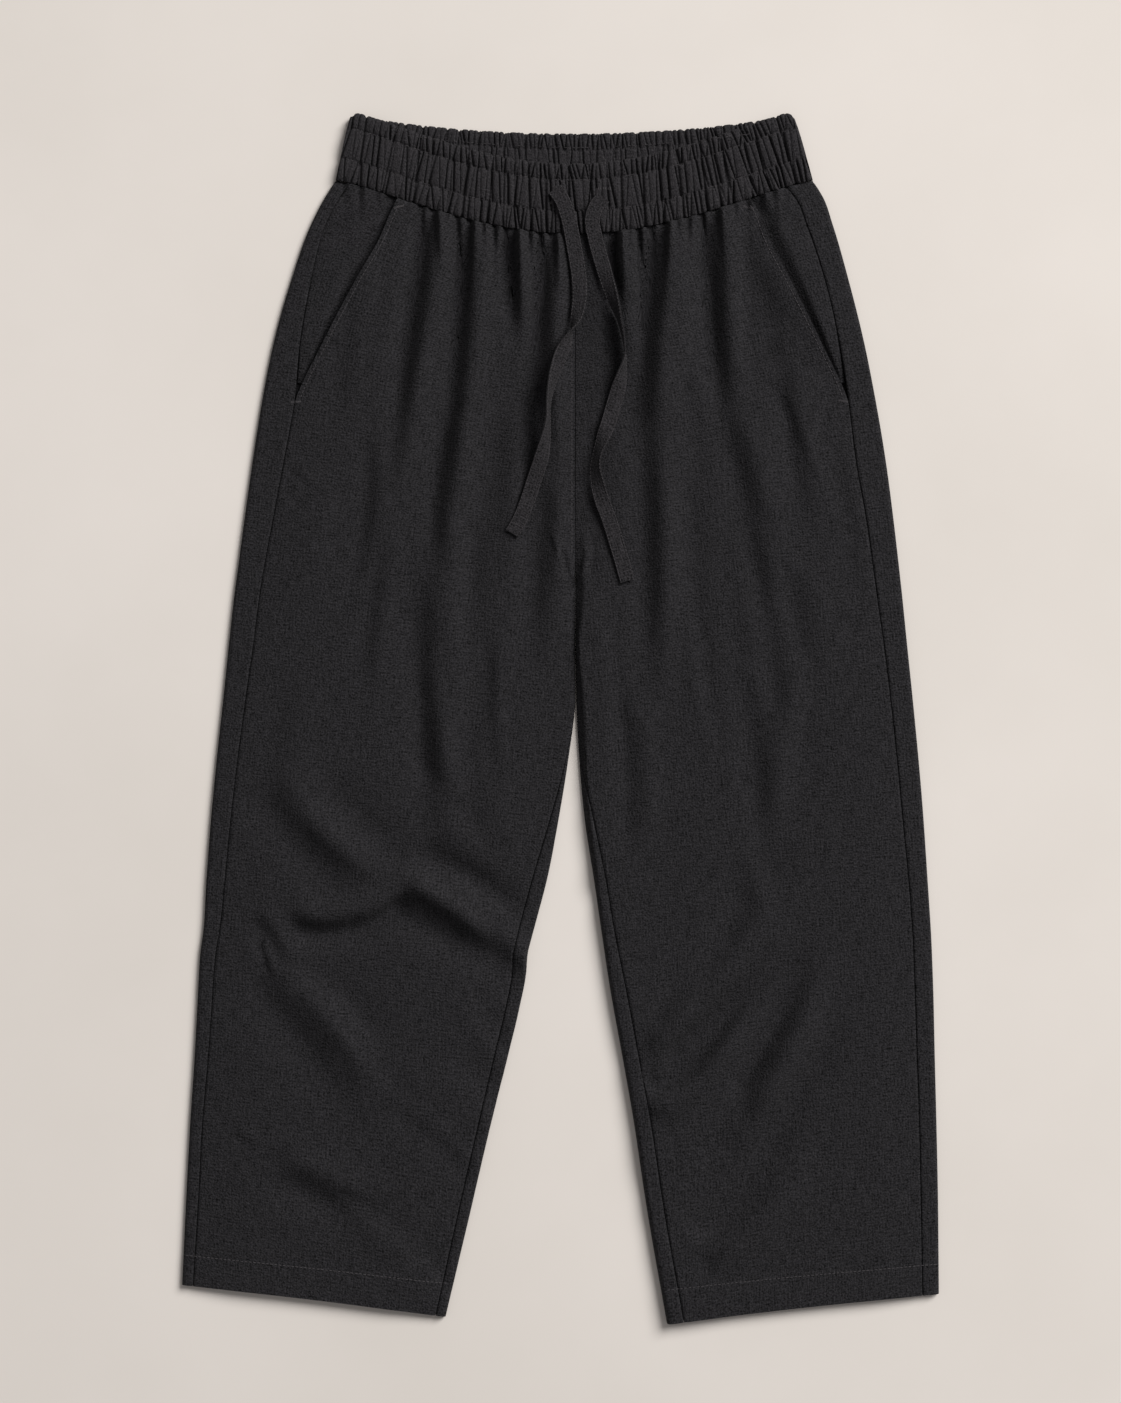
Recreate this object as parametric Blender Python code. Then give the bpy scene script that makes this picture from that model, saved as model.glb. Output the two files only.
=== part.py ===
"""Drawstring trousers, laid flat on their back.

The garment lies on z = 0 with its waist toward +Y, its fronts up, and the wearer's
right leg at -X. Tables are in millimetres, and the meshes are in metres. Each panel is
a wall whose outer face follows the cross-section of a flattened trouser leg: the front
panels form the top, and the back panels lie underneath and wrap forward round the side
and the inner leg, up to seams that are set in from the outline.
"""
import math
import random

import bpy
import numpy as np
from mathutils import Vector
from mathutils.bvhtree import BVHTree

MM = 0.001

# Cloth and seams
WALL = 1.2              # linen panel
HEM_EXTRA = 0.5         # the hem is turned up, so its wall is thicker on the inside
HEM_DEPTH = 24.0
HEM_RUN_OUT = 6.0       # the doubled hem thins out over this much
HEM_BOW = 1.4           # the middle of a hem lies this much higher than its corners
HEM_BOW_REACH = 60.0
SEAM_GAP = 0.3
INSEAM_EASE = 0.9       # more room where the inseam turns from the folded edge onto the top
INSEAM_ON_EDGE = 0.5    # an inseam set in by less than this lies on the folded edge itself
INSEAM_ON_TOP = 6.0     # and one set in by this much lies flat on top
EDGE_MID = 2.2          # height of the middle of a folded edge above the floor
EDGE_HEIGHT = 4.4       # two layers and the air between them, next to a folded edge
EDGE_ROLL = 4.0         # how far a folded side edge curves in
LEAST_HEIGHT = 2 * WALL + 0.35
TOUCH = 0.01            # distances below this count as none
PUFF = 1.5              # how much higher the middle of a panel lies than its edges
PUFF_REACH = 45.0
STRIP_EASE = 12.0       # creases die out over this much before the side seam

# Waistband: an elasticated ring, its front lower than its back
BAND_LEFT_X = (-168.4, -180.0)      # top and bottom of its right-hand end for the wearer
BAND_RIGHT_X = (187.0, 202.0)
BAND_END_Y = (485.0, 430.0)
BAND_TOP_SAG = {"front": (42.0, 1.15), "back": (17.4, 0.66)}     # depth, power of a sine
WAIST_SEAM_SAG = (43.0, 1.2)
BACK_SEAM_SAG = 20.0                # the hidden seam under it runs straight to its middle
BAND_BACK_WALL = 1.5
BAND_FRONT_BASE = 2.8               # underside of the front layer
BAND_FRONT_WALL = 2.2
BAND_GATHERS = 75                   # on each of its two layers
GATHER_RISE_FRONT = 1.3
GATHER_RISE_BACK = 1.0
GATHER_SPREAD = (0.55, 1.0)         # each gather's share of that rise
GATHER_SEED = 11
BAND_INNER_INSET = 1.9              # how far in the band's hollow ends, in edge radii
BAND_INNER_BULGE = 0.1
BAND_ROWS = (0.0, 0.12, 0.235, 0.45, 0.68, 0.84, 1.0)
BAND_SWELL = (0.75, 1.0, 0.35, 1.0, 0.35, 0.9, 0.6)
FOLD_ANGLES = (45.0, 0.0, -45.0)    # columns round the fold at each end, from the top down

# Pocket facing
FACING_WALL = 1.1
FACING_UNDERLAP = 10.0
FACING_LOW = 2.95
FACING_SLOPE = 0.12
FACING_SEAM_HEIGHT = 4.2
FACING_END_Y = 270.0
FACING_COLUMNS = 6
OVER_FACING_HEIGHT = 4.55           # the front panel clears the facing by this height
OVER_FACING_RUN_OUT = (2.0, 10.0)   # past the facing's inner edge: where that ends, how softly
POCKET_GAPE = 2.2                   # how much the opening's edge lifts at its middle
POCKET_LIP = 26.0                   # and how far in from the edge that reaches
POCKET_WIDE = 8.0                   # facing width at which the pocket counts as open
POCKET_DEPTH = 176.0                # from the waist seam's end down to the opening's end

# Drawstring
TAPE_WIDTH = 12.0
TAPE_THICK = 1.2
TAPE_STEP = 7.0
TAPE_CLEAR = 0.35
TAPE_MARGIN = 1.5       # cloth this far beside the tape also holds it up

CROTCH_Y = 116.4
CENTRE_X = 12.0

# One row for each section of a leg, from the waist seam to the hem, in mm. The section
# runs from the outer edge of the outline to its inner edge, which is the centre-front
# seam above the crotch and the inner leg below it.
SECTION_COLUMNS = ("outer_x", "outer_y", "inner_x", "inner_y", "side_in", "open_in",
                   "inseam_in", "inner_z", "inner_roll", "bow")
SECTIONS = {
    "right": (
        (-180.0, 430.0, 12.0, 387.0, 12.0, 51.0, 0.0, 5.0, 18.0, 1.0),
        (-188.8, 416.0, 12.0, 374.8, 12.0, 54.0, 0.0, 5.0, 18.0, 0.9),
        (-199.6, 394.8, 12.0, 356.4, 12.0, 57.0, 0.0, 4.9, 18.0, 0.7),
        (-215.6, 350.0, 12.0, 316.4, 16.0, 50.0, 0.0, 4.8, 18.0, 0.4),
        (-229.2, 302.0, 12.0, 274.8, 21.0, 39.0, 0.0, 4.7, 17.0, 0.2),
        (-238.8, 254.0, 12.0, 233.2, 26.0, 26.0, 0.0, 4.7, 16.0, 0.0),
        (-246.4, 206.0, 12.0, 191.6, 25.0, 25.0, 0.0, 4.5, 15.0, 0.0),
        (-253.2, 158.0, 12.0, 151.6, 23.0, 23.0, 0.0, 3.9, 14.0, 0.0),
        (-258.8, 116.4, 12.0, 116.4, 21.0, 21.0, 0.0, 2.75, 12.0, 0.0),
        (-261.2, 98.0, 11.85, 98.0, 20.5, 20.5, 0.0, 2.2, 12.0, 0.0),
        (-265.2, 62.0, 11.85, 62.0, 20.0, 20.0, 0.0, 2.2, 11.0, 0.0),
        (-270.4, 11.6, 11.2, 11.6, 18.0, 18.0, 0.0, 2.2, 9.0, 0.0),
        (-275.4, -34.0, 6.2, -34.0, 17.0, 17.0, 2.0, 2.2, 7.0, 0.0),
        (-280.0, -82.0, -1.6, -82.0, 16.0, 16.0, 7.0, 2.2, 4.5, 0.0),
        (-283.6, -130.0, -10.8, -130.0, 15.0, 15.0, 12.0, 2.2, 4.0, 0.0),
        (-286.4, -174.0, -22.4, -174.0, 13.0, 13.0, 12.0, 2.2, 4.0, 0.0),
        (-288.4, -188.0, -26.0, -188.0, 12.6, 12.6, 11.6, 2.2, 4.0, 0.0),
        (-289.6, -206.0, -27.6, -206.0, 12.2, 12.2, 11.2, 2.2, 4.0, 0.0),
        (-291.0, -234.0, -33.2, -234.0, 11.7, 11.7, 11.0, 2.2, 4.0, 0.0),
        (-293.2, -274.0, -42.8, -274.0, 11.0, 11.0, 11.0, 2.2, 4.0, 0.0),
        (-296.4, -322.0, -56.4, -328.4, 10.0, 10.0, 10.0, 2.2, 4.0, 0.0),
        (-299.6, -382.0, -73.2, -400.4, 10.0, 10.0, 9.5, 2.2, 4.0, 0.0),
        (-303.0, -454.0, -92.0, -479.6, 9.0, 9.0, 8.0, 2.2, 4.0, 0.0),
    ),
    "left": (
        (202.0, 430.0, 12.0, 387.0, 22.0, 52.0, 0.0, 5.0, 18.0, 1.0),
        (210.6, 416.0, 12.0, 374.8, 21.6, 53.0, 0.0, 5.0, 18.0, 0.9),
        (218.0, 394.8, 12.0, 356.4, 21.0, 53.6, 0.0, 4.9, 18.0, 0.7),
        (230.8, 350.0, 12.0, 316.4, 19.0, 45.6, 0.0, 4.8, 18.0, 0.4),
        (242.8, 302.0, 12.0, 274.8, 20.0, 34.4, 0.0, 4.7, 17.0, 0.2),
        (252.4, 254.0, 12.0, 233.2, 22.0, 22.0, 0.0, 4.7, 16.0, 0.0),
        (260.4, 206.0, 12.0, 191.6, 24.0, 24.0, 0.0, 4.5, 15.0, 0.0),
        (266.8, 158.0, 12.0, 151.6, 22.0, 22.0, 0.0, 3.9, 14.0, 0.0),
        (271.6, 116.4, 12.0, 116.4, 21.0, 21.0, 0.0, 2.75, 12.0, 0.0),
        (273.6, 98.0, 12.15, 98.0, 20.5, 20.5, 0.0, 2.2, 12.0, 0.0),
        (277.2, 62.0, 12.15, 62.0, 19.0, 19.0, 0.0, 2.2, 11.0, 0.0),
        (282.4, 11.6, 12.8, 11.6, 18.0, 18.0, 0.0, 2.2, 9.0, 0.0),
        (286.8, -34.0, 15.0, -34.0, 17.5, 17.5, 1.5, 2.2, 7.0, 0.0),
        (290.8, -82.0, 19.4, -82.0, 17.0, 17.0, 7.0, 2.2, 4.5, 0.0),
        (294.0, -130.0, 26.8, -130.0, 15.5, 15.5, 9.5, 2.2, 4.0, 0.0),
        (296.8, -174.0, 33.2, -174.0, 15.0, 15.0, 10.5, 2.2, 4.0, 0.0),
        (298.4, -214.0, 39.2, -214.0, 15.0, 15.0, 12.5, 2.2, 4.0, 0.0),
        (299.8, -274.0, 50.0, -274.0, 14.5, 14.5, 13.0, 2.2, 4.0, 0.0),
        (301.0, -322.0, 58.4, -322.0, 14.0, 14.0, 13.5, 2.2, 4.0, 0.0),
        (302.2, -378.0, 68.6, -390.0, 14.0, 14.0, 13.5, 2.2, 4.0, 0.0),
        (303.0, -461.2, 85.2, -485.0, 13.5, 13.5, 13.5, 2.2, 4.0, 0.0),
    ),
}

# Mesh rows between two sections' heights: (outer_y to start at, rows down to the next)
ROW_BANDS = ((430.0, 3), (394.8, 4), (FACING_END_Y, 1), (254.0, 4), (CROTCH_Y, 1),
             (109.0, 3), (11.6, 3), (-60.0, 9), (-260.0, 2), (-330.0, 4))
FRONT_FRACTIONS = np.linspace(0.0, 1.0, 23)
BACK_SIDE_FRACTIONS = (0.0, 0.42, 0.66, 0.78, 0.9, 1.0)
BACK_INNER_FRACTIONS = (1.0, 0.86, 0.72, 0.58, 0.4, 0.0)
BACK_BOTTOM_COLUMNS = 2
BACK_RUN_IN = 3.0

# Points on a drawn outline, before its mesh columns are picked from it
PANEL_SAMPLES = 160
TURN_SAMPLES = 16
STRIP_SAMPLES = 20
FLAT_SAMPLES = 40
NORMAL_REACH = 0.7      # a normal is taken across this much of the outline on each side
SEAM_REACH = (0.1, 0.2)     # and at a seam across at least and at most this much

# One row for each crease: where its line starts, bends and ends, as x and y; its half
# width; and how far it rises (+) or sinks (-). All in mm.
FOLDS = {
    "right": (
        (-98.8, 410.0, -112.4, 326.0, -136.4, 158.0, 8.0, -2.2),
        (-70.8, 402.0, -74.0, 270.0, -102.0, 98.8, 8.0, -2.2),
        (-102.0, 98.8, -111.6, -19.6, -91.6, -105.2, 11.0, -1.6),
        (-58.8, 243.6, -79.6, 142.0, -93.2, 14.0, 12.0, 1.8),
        (-38.0, 396.0, -33.2, 342.0, -34.8, 302.0, 6.0, -1.8),
        (-6.0, 392.0, -16.4, 274.0, -6.8, 198.0, 9.0, -2.4),
        (-6.8, 198.0, -12.4, 125.2, -19.6, 19.6, 10.0, -1.8),
        (-22.8, 386.0, -24.4, 340.0, -26.0, 290.0, 7.0, 1.0),
        (-226.8, -66.0, -194.0, -112.4, -154.0, -125.2, 11.0, -1.9),
        (-206.8, -52.4, -160.4, -120.4, -108.4, -118.8, 14.0, 2.2),
        (-125.0, -118.0, -68.4, -134.0, -27.0, -172.0, 11.0, 4.2),
        (-206.8, -164.4, -168.4, -174.0, -121.2, -140.4, 9.0, -2.4),
        (-128.0, -143.0, -80.4, -168.0, -29.0, -206.0, 9.0, -3.6),
        (-242.8, -154.8, -228.4, -178.0, -210.0, -201.2, 7.0, -1.8),
        (-238.8, -202.0, -208.4, -226.0, -141.2, -329.2, 12.0, -1.8),
        (-232.4, -198.0, -176.4, -226.0, -128.4, -290.0, 13.0, 1.4),
        (-226.8, -362.0, -180.4, -382.0, -134.8, -391.6, 12.0, -1.0),
    ),
    "left": (
        (45.2, 396.0, 46.0, 366.0, 48.4, 342.0, 6.0, -1.8),
        (86.0, 404.0, 70.0, 302.0, 73.2, 206.0, 8.5, -2.6),
        (73.2, 206.0, 78.8, 110.0, 75.6, 14.0, 9.0, -2.6),
        (89.2, 230.0, 92.4, 94.0, 86.0, -2.0, 11.0, 2.0),
        (126.0, 414.0, 121.2, 326.0, 135.6, 230.8, 8.0, -2.0),
        (135.6, 230.8, 163.6, 142.0, 174.8, 54.0, 11.0, -2.0),
        (174.8, 54.0, 179.6, -58.0, 153.2, -138.0, 11.0, -2.2),
        (153.2, -138.0, 142.0, -194.0, 103.6, -234.0, 9.0, -1.3),
        (111.6, 366.0, 110.0, 286.0, 127.6, 206.0, 10.0, 1.2),
        (66.0, -303.6, 111.6, -298.0, 150.0, -214.0, 9.0, -2.2),
        (75.6, -274.0, 119.6, -250.0, 151.6, -178.0, 10.0, 2.0),
        (148.4, -306.0, 179.6, -258.0, 209.2, -186.0, 9.0, -1.8),
        (112.4, -422.8, 159.6, -398.0, 191.6, -338.0, 12.0, -1.6),
        (151.6, -346.0, 183.6, -306.0, 215.6, -234.0, 12.0, 1.5),
        (56.4, 19.6, 65.2, -50.0, 59.6, -131.6, 8.0, -1.5),
        (178.0, 270.0, 191.6, 198.0, 202.8, 134.0, 10.0, -1.2),
    ),
}

# Short puckers below the waist seam: x, length, half width, depth
PUCKERS = {
    "right": ((-120.0, 26.0, 4.0, 0.9), (-84.0, 30.0, 4.0, 1.2), (-51.0, 34.0, 4.0, 1.4),
              (-24.0, 26.0, 3.5, 1.2), (-112.0, 18.0, 3.0, 0.8)),
    "left": ((30.0, 24.0, 4.0, 1.0), (57.0, 26.0, 3.5, 1.1), (68.0, 40.0, 4.0, 1.3),
             (98.0, 34.0, 4.0, 1.3), (111.0, 28.0, 3.5, 1.2), (140.0, 30.0, 4.0, 1.0)),
}

# One row for each station of a drawstring end, from the buttonhole to its sewn tip: x and
# y in mm, and its turn in degrees about its own run, where 0 lies flat and 90 stands on
# edge.
TAPES = {
    "right": (
        (-4.5, 422.0, 0.0), (1.0, 414.0, 0.0), (5.5, 402.0, 0.0), (10.0, 381.0, 0.0),
        (13.0, 364.0, 0.0), (15.2, 348.0, 5.0), (15.2, 334.0, 20.0), (12.5, 318.0, 45.0),
        (7.0, 304.0, 110.0), (1.5, 292.0, 150.0), (-3.0, 280.0, 140.0),
        (-7.0, 266.0, 120.0), (-9.5, 252.0, 105.0), (-10.0, 238.0, 105.0),
        (-12.0, 222.0, 130.0), (-15.6, 206.0, 165.0), (-20.8, 190.0, 180.0),
        (-26.0, 174.0, 180.0), (-32.4, 158.0, 180.0), (-38.6, 147.0, 180.0),
    ),
    "left": (
        (34.5, 415.5, 0.0), (28.5, 408.0, 0.0), (25.6, 398.0, 0.0), (28.0, 382.0, 0.0),
        (32.4, 366.0, 5.0), (37.0, 350.0, 25.0), (42.0, 334.0, 45.0),
        (47.0, 318.0, 75.0), (50.5, 302.0, 85.0), (51.5, 288.0, 95.0),
        (49.0, 274.0, 130.0), (46.0, 262.0, 165.0), (42.0, 248.0, 180.0),
        (38.0, 234.0, 180.0), (33.5, 222.0, 215.0), (29.5, 210.0, 235.0),
        (28.0, 200.0, 230.0), (29.5, 188.0, 210.0), (33.0, 174.0, 185.0),
        (39.0, 158.0, 180.0), (44.0, 142.0, 180.0), (48.8, 126.0, 180.0),
        (53.6, 109.0, 180.0),
    ),
}

COLOURS = {
    "panel": (0.0190, 0.0185, 0.0200, 1.0),
    "band": (0.0208, 0.0200, 0.0215, 1.0),
    "facing": (0.0165, 0.0160, 0.0172, 1.0),
    "tape": (0.0225, 0.0218, 0.0228, 1.0),
}


def clear_scene():
    for old in list(bpy.data.objects):
        bpy.data.objects.remove(old, do_unlink=True)


def cloth_material(name, colour):
    material = bpy.data.materials.new(name)
    material.use_nodes = True
    shader = material.node_tree.nodes["Principled BSDF"]
    shader.inputs["Base Color"].default_value = colour
    shader.inputs["Roughness"].default_value = 0.92
    shader.inputs["Metallic"].default_value = 0.0
    material.diffuse_color = colour
    return material


def add_mesh(name, points, faces, material):
    """Add one closed mesh whose points are given in mm."""
    mesh = bpy.data.meshes.new(name)
    mesh.from_pydata([tuple(float(c) * MM for c in p) for p in points], [], faces)
    mesh.materials.append(material)
    mesh.validate()
    mesh.update()
    mesh.shade_smooth()
    mesh.set_sharp_from_angle(angle=math.radians(50.0))
    piece = bpy.data.objects.new(name, mesh)
    bpy.context.scene.collection.objects.link(piece)
    return piece


def smooth_lookup(keys, values, at):
    """Read a table at one key, on a smooth curve through its rows."""
    i = int(np.clip(np.searchsorted(keys, at) - 1, 0, len(keys) - 2))
    slopes = np.gradient(values, keys)
    step = keys[i + 1] - keys[i]
    t = np.clip((at - keys[i]) / step, 0.0, 1.0)
    return ((1 + 2 * t) * (1 - t) ** 2 * values[i] + t * (1 - t) ** 2 * step * slopes[i]
            + t * t * (3 - 2 * t) * values[i + 1] + t * t * (t - 1) * step * slopes[i + 1])


def ease(x):
    x = np.clip(x, 0.0, 1.0)
    return x * x * (3 - 2 * x)


def waist_seam_y(x, layer="front"):
    """Where on the page a waist seam runs: the front one sags more than the back one."""
    x0, x1 = BAND_LEFT_X[1], BAND_RIGHT_X[1]
    x = np.clip(x, x0, x1)
    if layer == "back":
        share = np.minimum((x - x0) / (CENTRE_X - x0), (x1 - x) / (x1 - CENTRE_X))
        return BAND_END_Y[1] - BACK_SEAM_SAG * share
    sag = np.maximum(np.sin(math.pi * (x - x0) / (x1 - x0)), 0.0)
    return BAND_END_Y[1] - WAIST_SEAM_SAG[0] * sag ** WAIST_SEAM_SAG[1]


def crease_height(folds, x, y):
    """Sum of the creases of one leg over arrays of x and y."""
    total = np.zeros_like(x)
    steps = np.linspace(0.0, 1.0, 33)
    for x0, y0, x1, y1, x2, y2, half_width, rise in folds:
        lx = (1 - steps) ** 2 * x0 + 2 * steps * (1 - steps) * x1 + steps ** 2 * x2
        ly = (1 - steps) ** 2 * y0 + 2 * steps * (1 - steps) * y1 + steps ** 2 * y2
        away = np.hypot(x[:, None] - lx[None, :], y[:, None] - ly[None, :])
        nearest = away.argmin(axis=1)
        along = steps[nearest]
        fade = ease(np.minimum(along, 1 - along) / 0.22 + 0.15)
        total += rise * fade * np.exp(-(away.min(axis=1) / half_width) ** 2)
    return total


def pucker_height(puckers, x, y):
    total = np.zeros_like(x)
    below = waist_seam_y(x) - y
    for px, length, half_width, depth in puckers:
        fade = np.exp(-np.maximum(below, 0.0) / (0.6 * length))
        total -= depth * fade * np.exp(-((x - px) / half_width) ** 2)
    return total


class Leg:
    """One half of the trousers: its sections, creases and cross-sections."""

    def __init__(self, side):
        self.side = side
        self.rows = np.array(SECTIONS[side])
        self.keys = -self.rows[:, 1]
        self.hem_y = self.rows[-1, 1]

    def section(self, outer_y):
        values = {}
        for i, name in enumerate(SECTION_COLUMNS):
            values[name] = float(smooth_lookup(self.keys, self.rows[:, i], -outer_y))
        values["joined"] = outer_y >= CROTCH_Y - TOUCH
        if values["joined"]:
            values["inner_x"] = CENTRE_X
            values["inner_z"] = max(values["inner_z"], LEAST_HEIGHT)
            values["inseam_in"] = 0.0
        else:
            values["inner_z"] = EDGE_MID
            values["inseam_in"] = max(values["inseam_in"], 0.0)
            away = math.copysign(SEAM_GAP / 2, values["outer_x"])
            inward_limit = max if away > 0 else min
            values["inner_x"] = inward_limit(values["inner_x"], CENTRE_X + away)
        values["open_in"] = max(values["open_in"], values["side_in"])
        values["hem_bow"] = HEM_BOW * (1 - ease((outer_y - self.hem_y) / HEM_BOW_REACH))
        start = np.array((values["outer_x"], values["outer_y"]))
        end = np.array((values["inner_x"], values["inner_y"]))
        values["start"] = start
        values["length"] = float(np.hypot(*(end - start)))
        values["along"] = (end - start) / values["length"]
        return values

    def plan(self, row, s, under=None):
        """Where on the page a point lies, s mm from the outline along its section.

        Sections near the waist bow as the waist seam does; `under` marks the points of
        the lower layer, whose seam lies higher.
        """
        xy = row["start"][None, :] + np.asarray(s)[:, None] * row["along"][None, :]
        share = (xy[:, 0] - row["outer_x"]) / (row["inner_x"] - row["outer_x"])
        chord = BAND_END_Y[1] + share * (waist_seam_y(CENTRE_X) - BAND_END_Y[1])
        seam = waist_seam_y(xy[:, 0])
        if under is not None:
            seam = np.where(under, waist_seam_y(xy[:, 0], "back"), seam)
        xy[:, 1] += max(row["bow"], 0.0) * (seam - chord)
        xy[:, 1] += row["hem_bow"] * np.sin(math.pi * np.clip(share, 0.0, 1.0))
        return xy

    def top(self, row, s):
        """Height of the outer face on the upper side."""
        s = np.asarray(s, dtype=float)
        from_outer = np.clip(s, 0.0, None)
        from_inner = np.clip(row["length"] - s, 0.0, None)
        xy = self.plan(row, s)
        puff = PUFF * ease(from_outer / PUFF_REACH) * ease(from_inner / PUFF_REACH)
        height = EDGE_HEIGHT + puff
        strip = ease((from_outer - row["side_in"]) / STRIP_EASE)
        height = height + strip * crease_height(FOLDS[self.side], xy[:, 0], xy[:, 1])
        height = height + strip * pucker_height(PUCKERS[self.side], xy[:, 0], xy[:, 1])
        in_pocket = ease((row["open_in"] - row["side_in"]) / POCKET_WIDE)
        lip = 1 - ease((from_outer - row["open_in"]) / POCKET_LIP)
        down = ease((BAND_END_Y[1] - row["outer_y"]) / POCKET_DEPTH)
        gape = in_pocket * math.sin(math.pi * down)
        height = np.where(from_outer >= row["open_in"] - TOUCH,
                          height + POCKET_GAPE * gape * lip, height)
        clear, softness = OVER_FACING_RUN_OUT
        past = from_outer - row["open_in"] - FACING_UNDERLAP - clear
        lowest = LEAST_HEIGHT + (OVER_FACING_HEIGHT - LEAST_HEIGHT) * in_pocket * (
            1 - ease(past / softness))
        height = np.maximum(height, lowest)
        x = np.clip(from_inner / row["inner_roll"], 0.0, 1.0)
        roll = np.sin(0.5 * math.pi * x) if row["joined"] else np.sqrt(1 - (1 - x) ** 2)
        height = row["inner_z"] + (height - row["inner_z"]) * roll
        x = np.clip(from_outer / EDGE_ROLL, 0.0, 1.0)
        return EDGE_MID + (height - EDGE_MID) * np.sqrt(1 - (1 - x) ** 2)

    def seam_normal(self, row, s):
        """Inward normal of the upper side at a seam, shared by the two pieces there."""
        reach = min(SEAM_REACH[1], 0.5 * (row["length"] - s))
        if reach < SEAM_REACH[0]:
            return -1.0, 0.0
        low, high = self.top(row, np.array((s - reach, s + reach)))
        slope = (high - low) / (2 * reach)
        size = math.hypot(slope, 1.0)
        return slope / size, -1.0 / size

    def front_outline(self, row):
        """The front panel's outer face across one section, as s and z."""
        end = row["length"] - (SEAM_GAP / 2 if row["joined"] else row["inseam_in"])
        on_edge = not row["joined"] and row["inseam_in"] <= INSEAM_ON_EDGE
        if not row["joined"] and not on_edge:
            end -= SEAM_GAP / 2 + INSEAM_EASE * (1 - ease(row["inseam_in"] / INSEAM_ON_TOP))
        begin = row["open_in"] + SEAM_GAP / 2
        turn = np.linspace(0.0, 0.5 * math.pi, PANEL_SAMPLES // 2)
        s = np.concatenate([np.linspace(begin, row["length"] - row["inner_roll"],
                                        PANEL_SAMPLES),
                            row["length"] - row["inner_roll"] * np.cos(turn) ** 2])
        s = np.unique(np.clip(s, begin, end))
        z = self.top(row, s)
        if on_edge:
            z[-1] += SEAM_GAP / 2
        return s, z

    def back_outline(self, row):
        """The back panel's outer face: the side strip, the underside, the inner strip."""
        strip = np.linspace(row["side_in"] - SEAM_GAP / 2, EDGE_ROLL, STRIP_SAMPLES)
        turn = np.linspace(0.0, 0.5 * math.pi, TURN_SAMPLES)
        over = EDGE_ROLL * (1 - np.sin(turn))
        side_s = np.concatenate([strip, over[1:], EDGE_MID * (1 - np.cos(turn[1:]))])
        side_z = np.concatenate([self.top(row, strip), self.top(row, over[1:]),
                                 EDGE_MID * (1 - np.sin(turn[1:]))])
        if row["joined"]:
            flat = np.linspace(EDGE_MID, row["length"] - SEAM_GAP / 2, FLAT_SAMPLES)[1:]
            return np.concatenate([side_s, flat]), np.concatenate([side_z, 0 * flat])
        flat = np.linspace(EDGE_MID, row["length"] - EDGE_MID, FLAT_SAMPLES)[1:]
        rise_s = row["length"] - EDGE_MID + EDGE_MID * np.sin(turn[1:])
        rise_z = EDGE_MID * (1 - np.cos(turn[1:]))
        s = np.concatenate([side_s, flat, rise_s])
        z = np.concatenate([side_z, 0 * flat, rise_z])
        if row["inseam_in"] <= INSEAM_ON_EDGE:
            z[-1] -= SEAM_GAP / 2
            return s, z
        inset = row["inseam_in"] - SEAM_GAP / 2
        back_over = inset * np.linspace(0.0, 1.0, STRIP_SAMPLES)[1:] ** 2
        return (np.concatenate([s, row["length"] - back_over]),
                np.concatenate([z, self.top(row, row["length"] - back_over)]))


def pick_columns(s, z, fractions):
    """Points and inward normals of an outline at fractions of its arc length."""
    run = np.concatenate([[0.0], np.cumsum(np.hypot(np.diff(s), np.diff(z)))])
    at = np.asarray(fractions) * run[-1]
    before = np.clip(at - NORMAL_REACH, 0.0, run[-1])
    after = np.clip(at + NORMAL_REACH, 0.0, run[-1])
    ps, pz = np.interp(at, run, s), np.interp(at, run, z)
    ds = np.interp(after, run, s) - np.interp(before, run, s)
    dz = np.interp(after, run, z) - np.interp(before, run, z)
    size = np.hypot(ds, dz)
    return ps, pz, dz / size, -ds / size


def row_heights(end_y):
    """The outer_y of every mesh row, from the waist seam down to end_y."""
    heights = []
    for i, (start, count) in enumerate(ROW_BANDS):
        stop = ROW_BANDS[i + 1][0] if i + 1 < len(ROW_BANDS) else end_y
        heights.extend(start + (stop - start) * k / count for k in range(count))
    return [y for y in heights if y > end_y + TOUCH] + [end_y]


def wall_mesh(outer, inner, flip):
    """Join two equal grids of points into one closed wall."""
    rows, columns = len(outer), len(outer[0])
    points = [p for grid in (outer, inner) for line in grid for p in line]
    shift = rows * columns

    def o(r, c):
        return r * columns + c

    def i(r, c):
        return shift + r * columns + c

    faces = []
    for r in range(rows - 1):
        for c in range(columns - 1):
            faces.append((o(r, c), o(r + 1, c), o(r + 1, c + 1), o(r, c + 1)))
            faces.append((i(r, c), i(r, c + 1), i(r + 1, c + 1), i(r + 1, c)))
        faces.append((o(r + 1, 0), o(r, 0), i(r, 0), i(r + 1, 0)))
        faces.append((o(r, columns - 1), o(r + 1, columns - 1),
                      i(r + 1, columns - 1), i(r, columns - 1)))
    for c in range(columns - 1):
        faces.append((o(0, c), o(0, c + 1), i(0, c + 1), i(0, c)))
        faces.append((o(rows - 1, c + 1), o(rows - 1, c), i(rows - 1, c), i(rows - 1, c + 1)))
    if flip:
        faces = [tuple(reversed(f)) for f in faces]
    return points, faces


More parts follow.
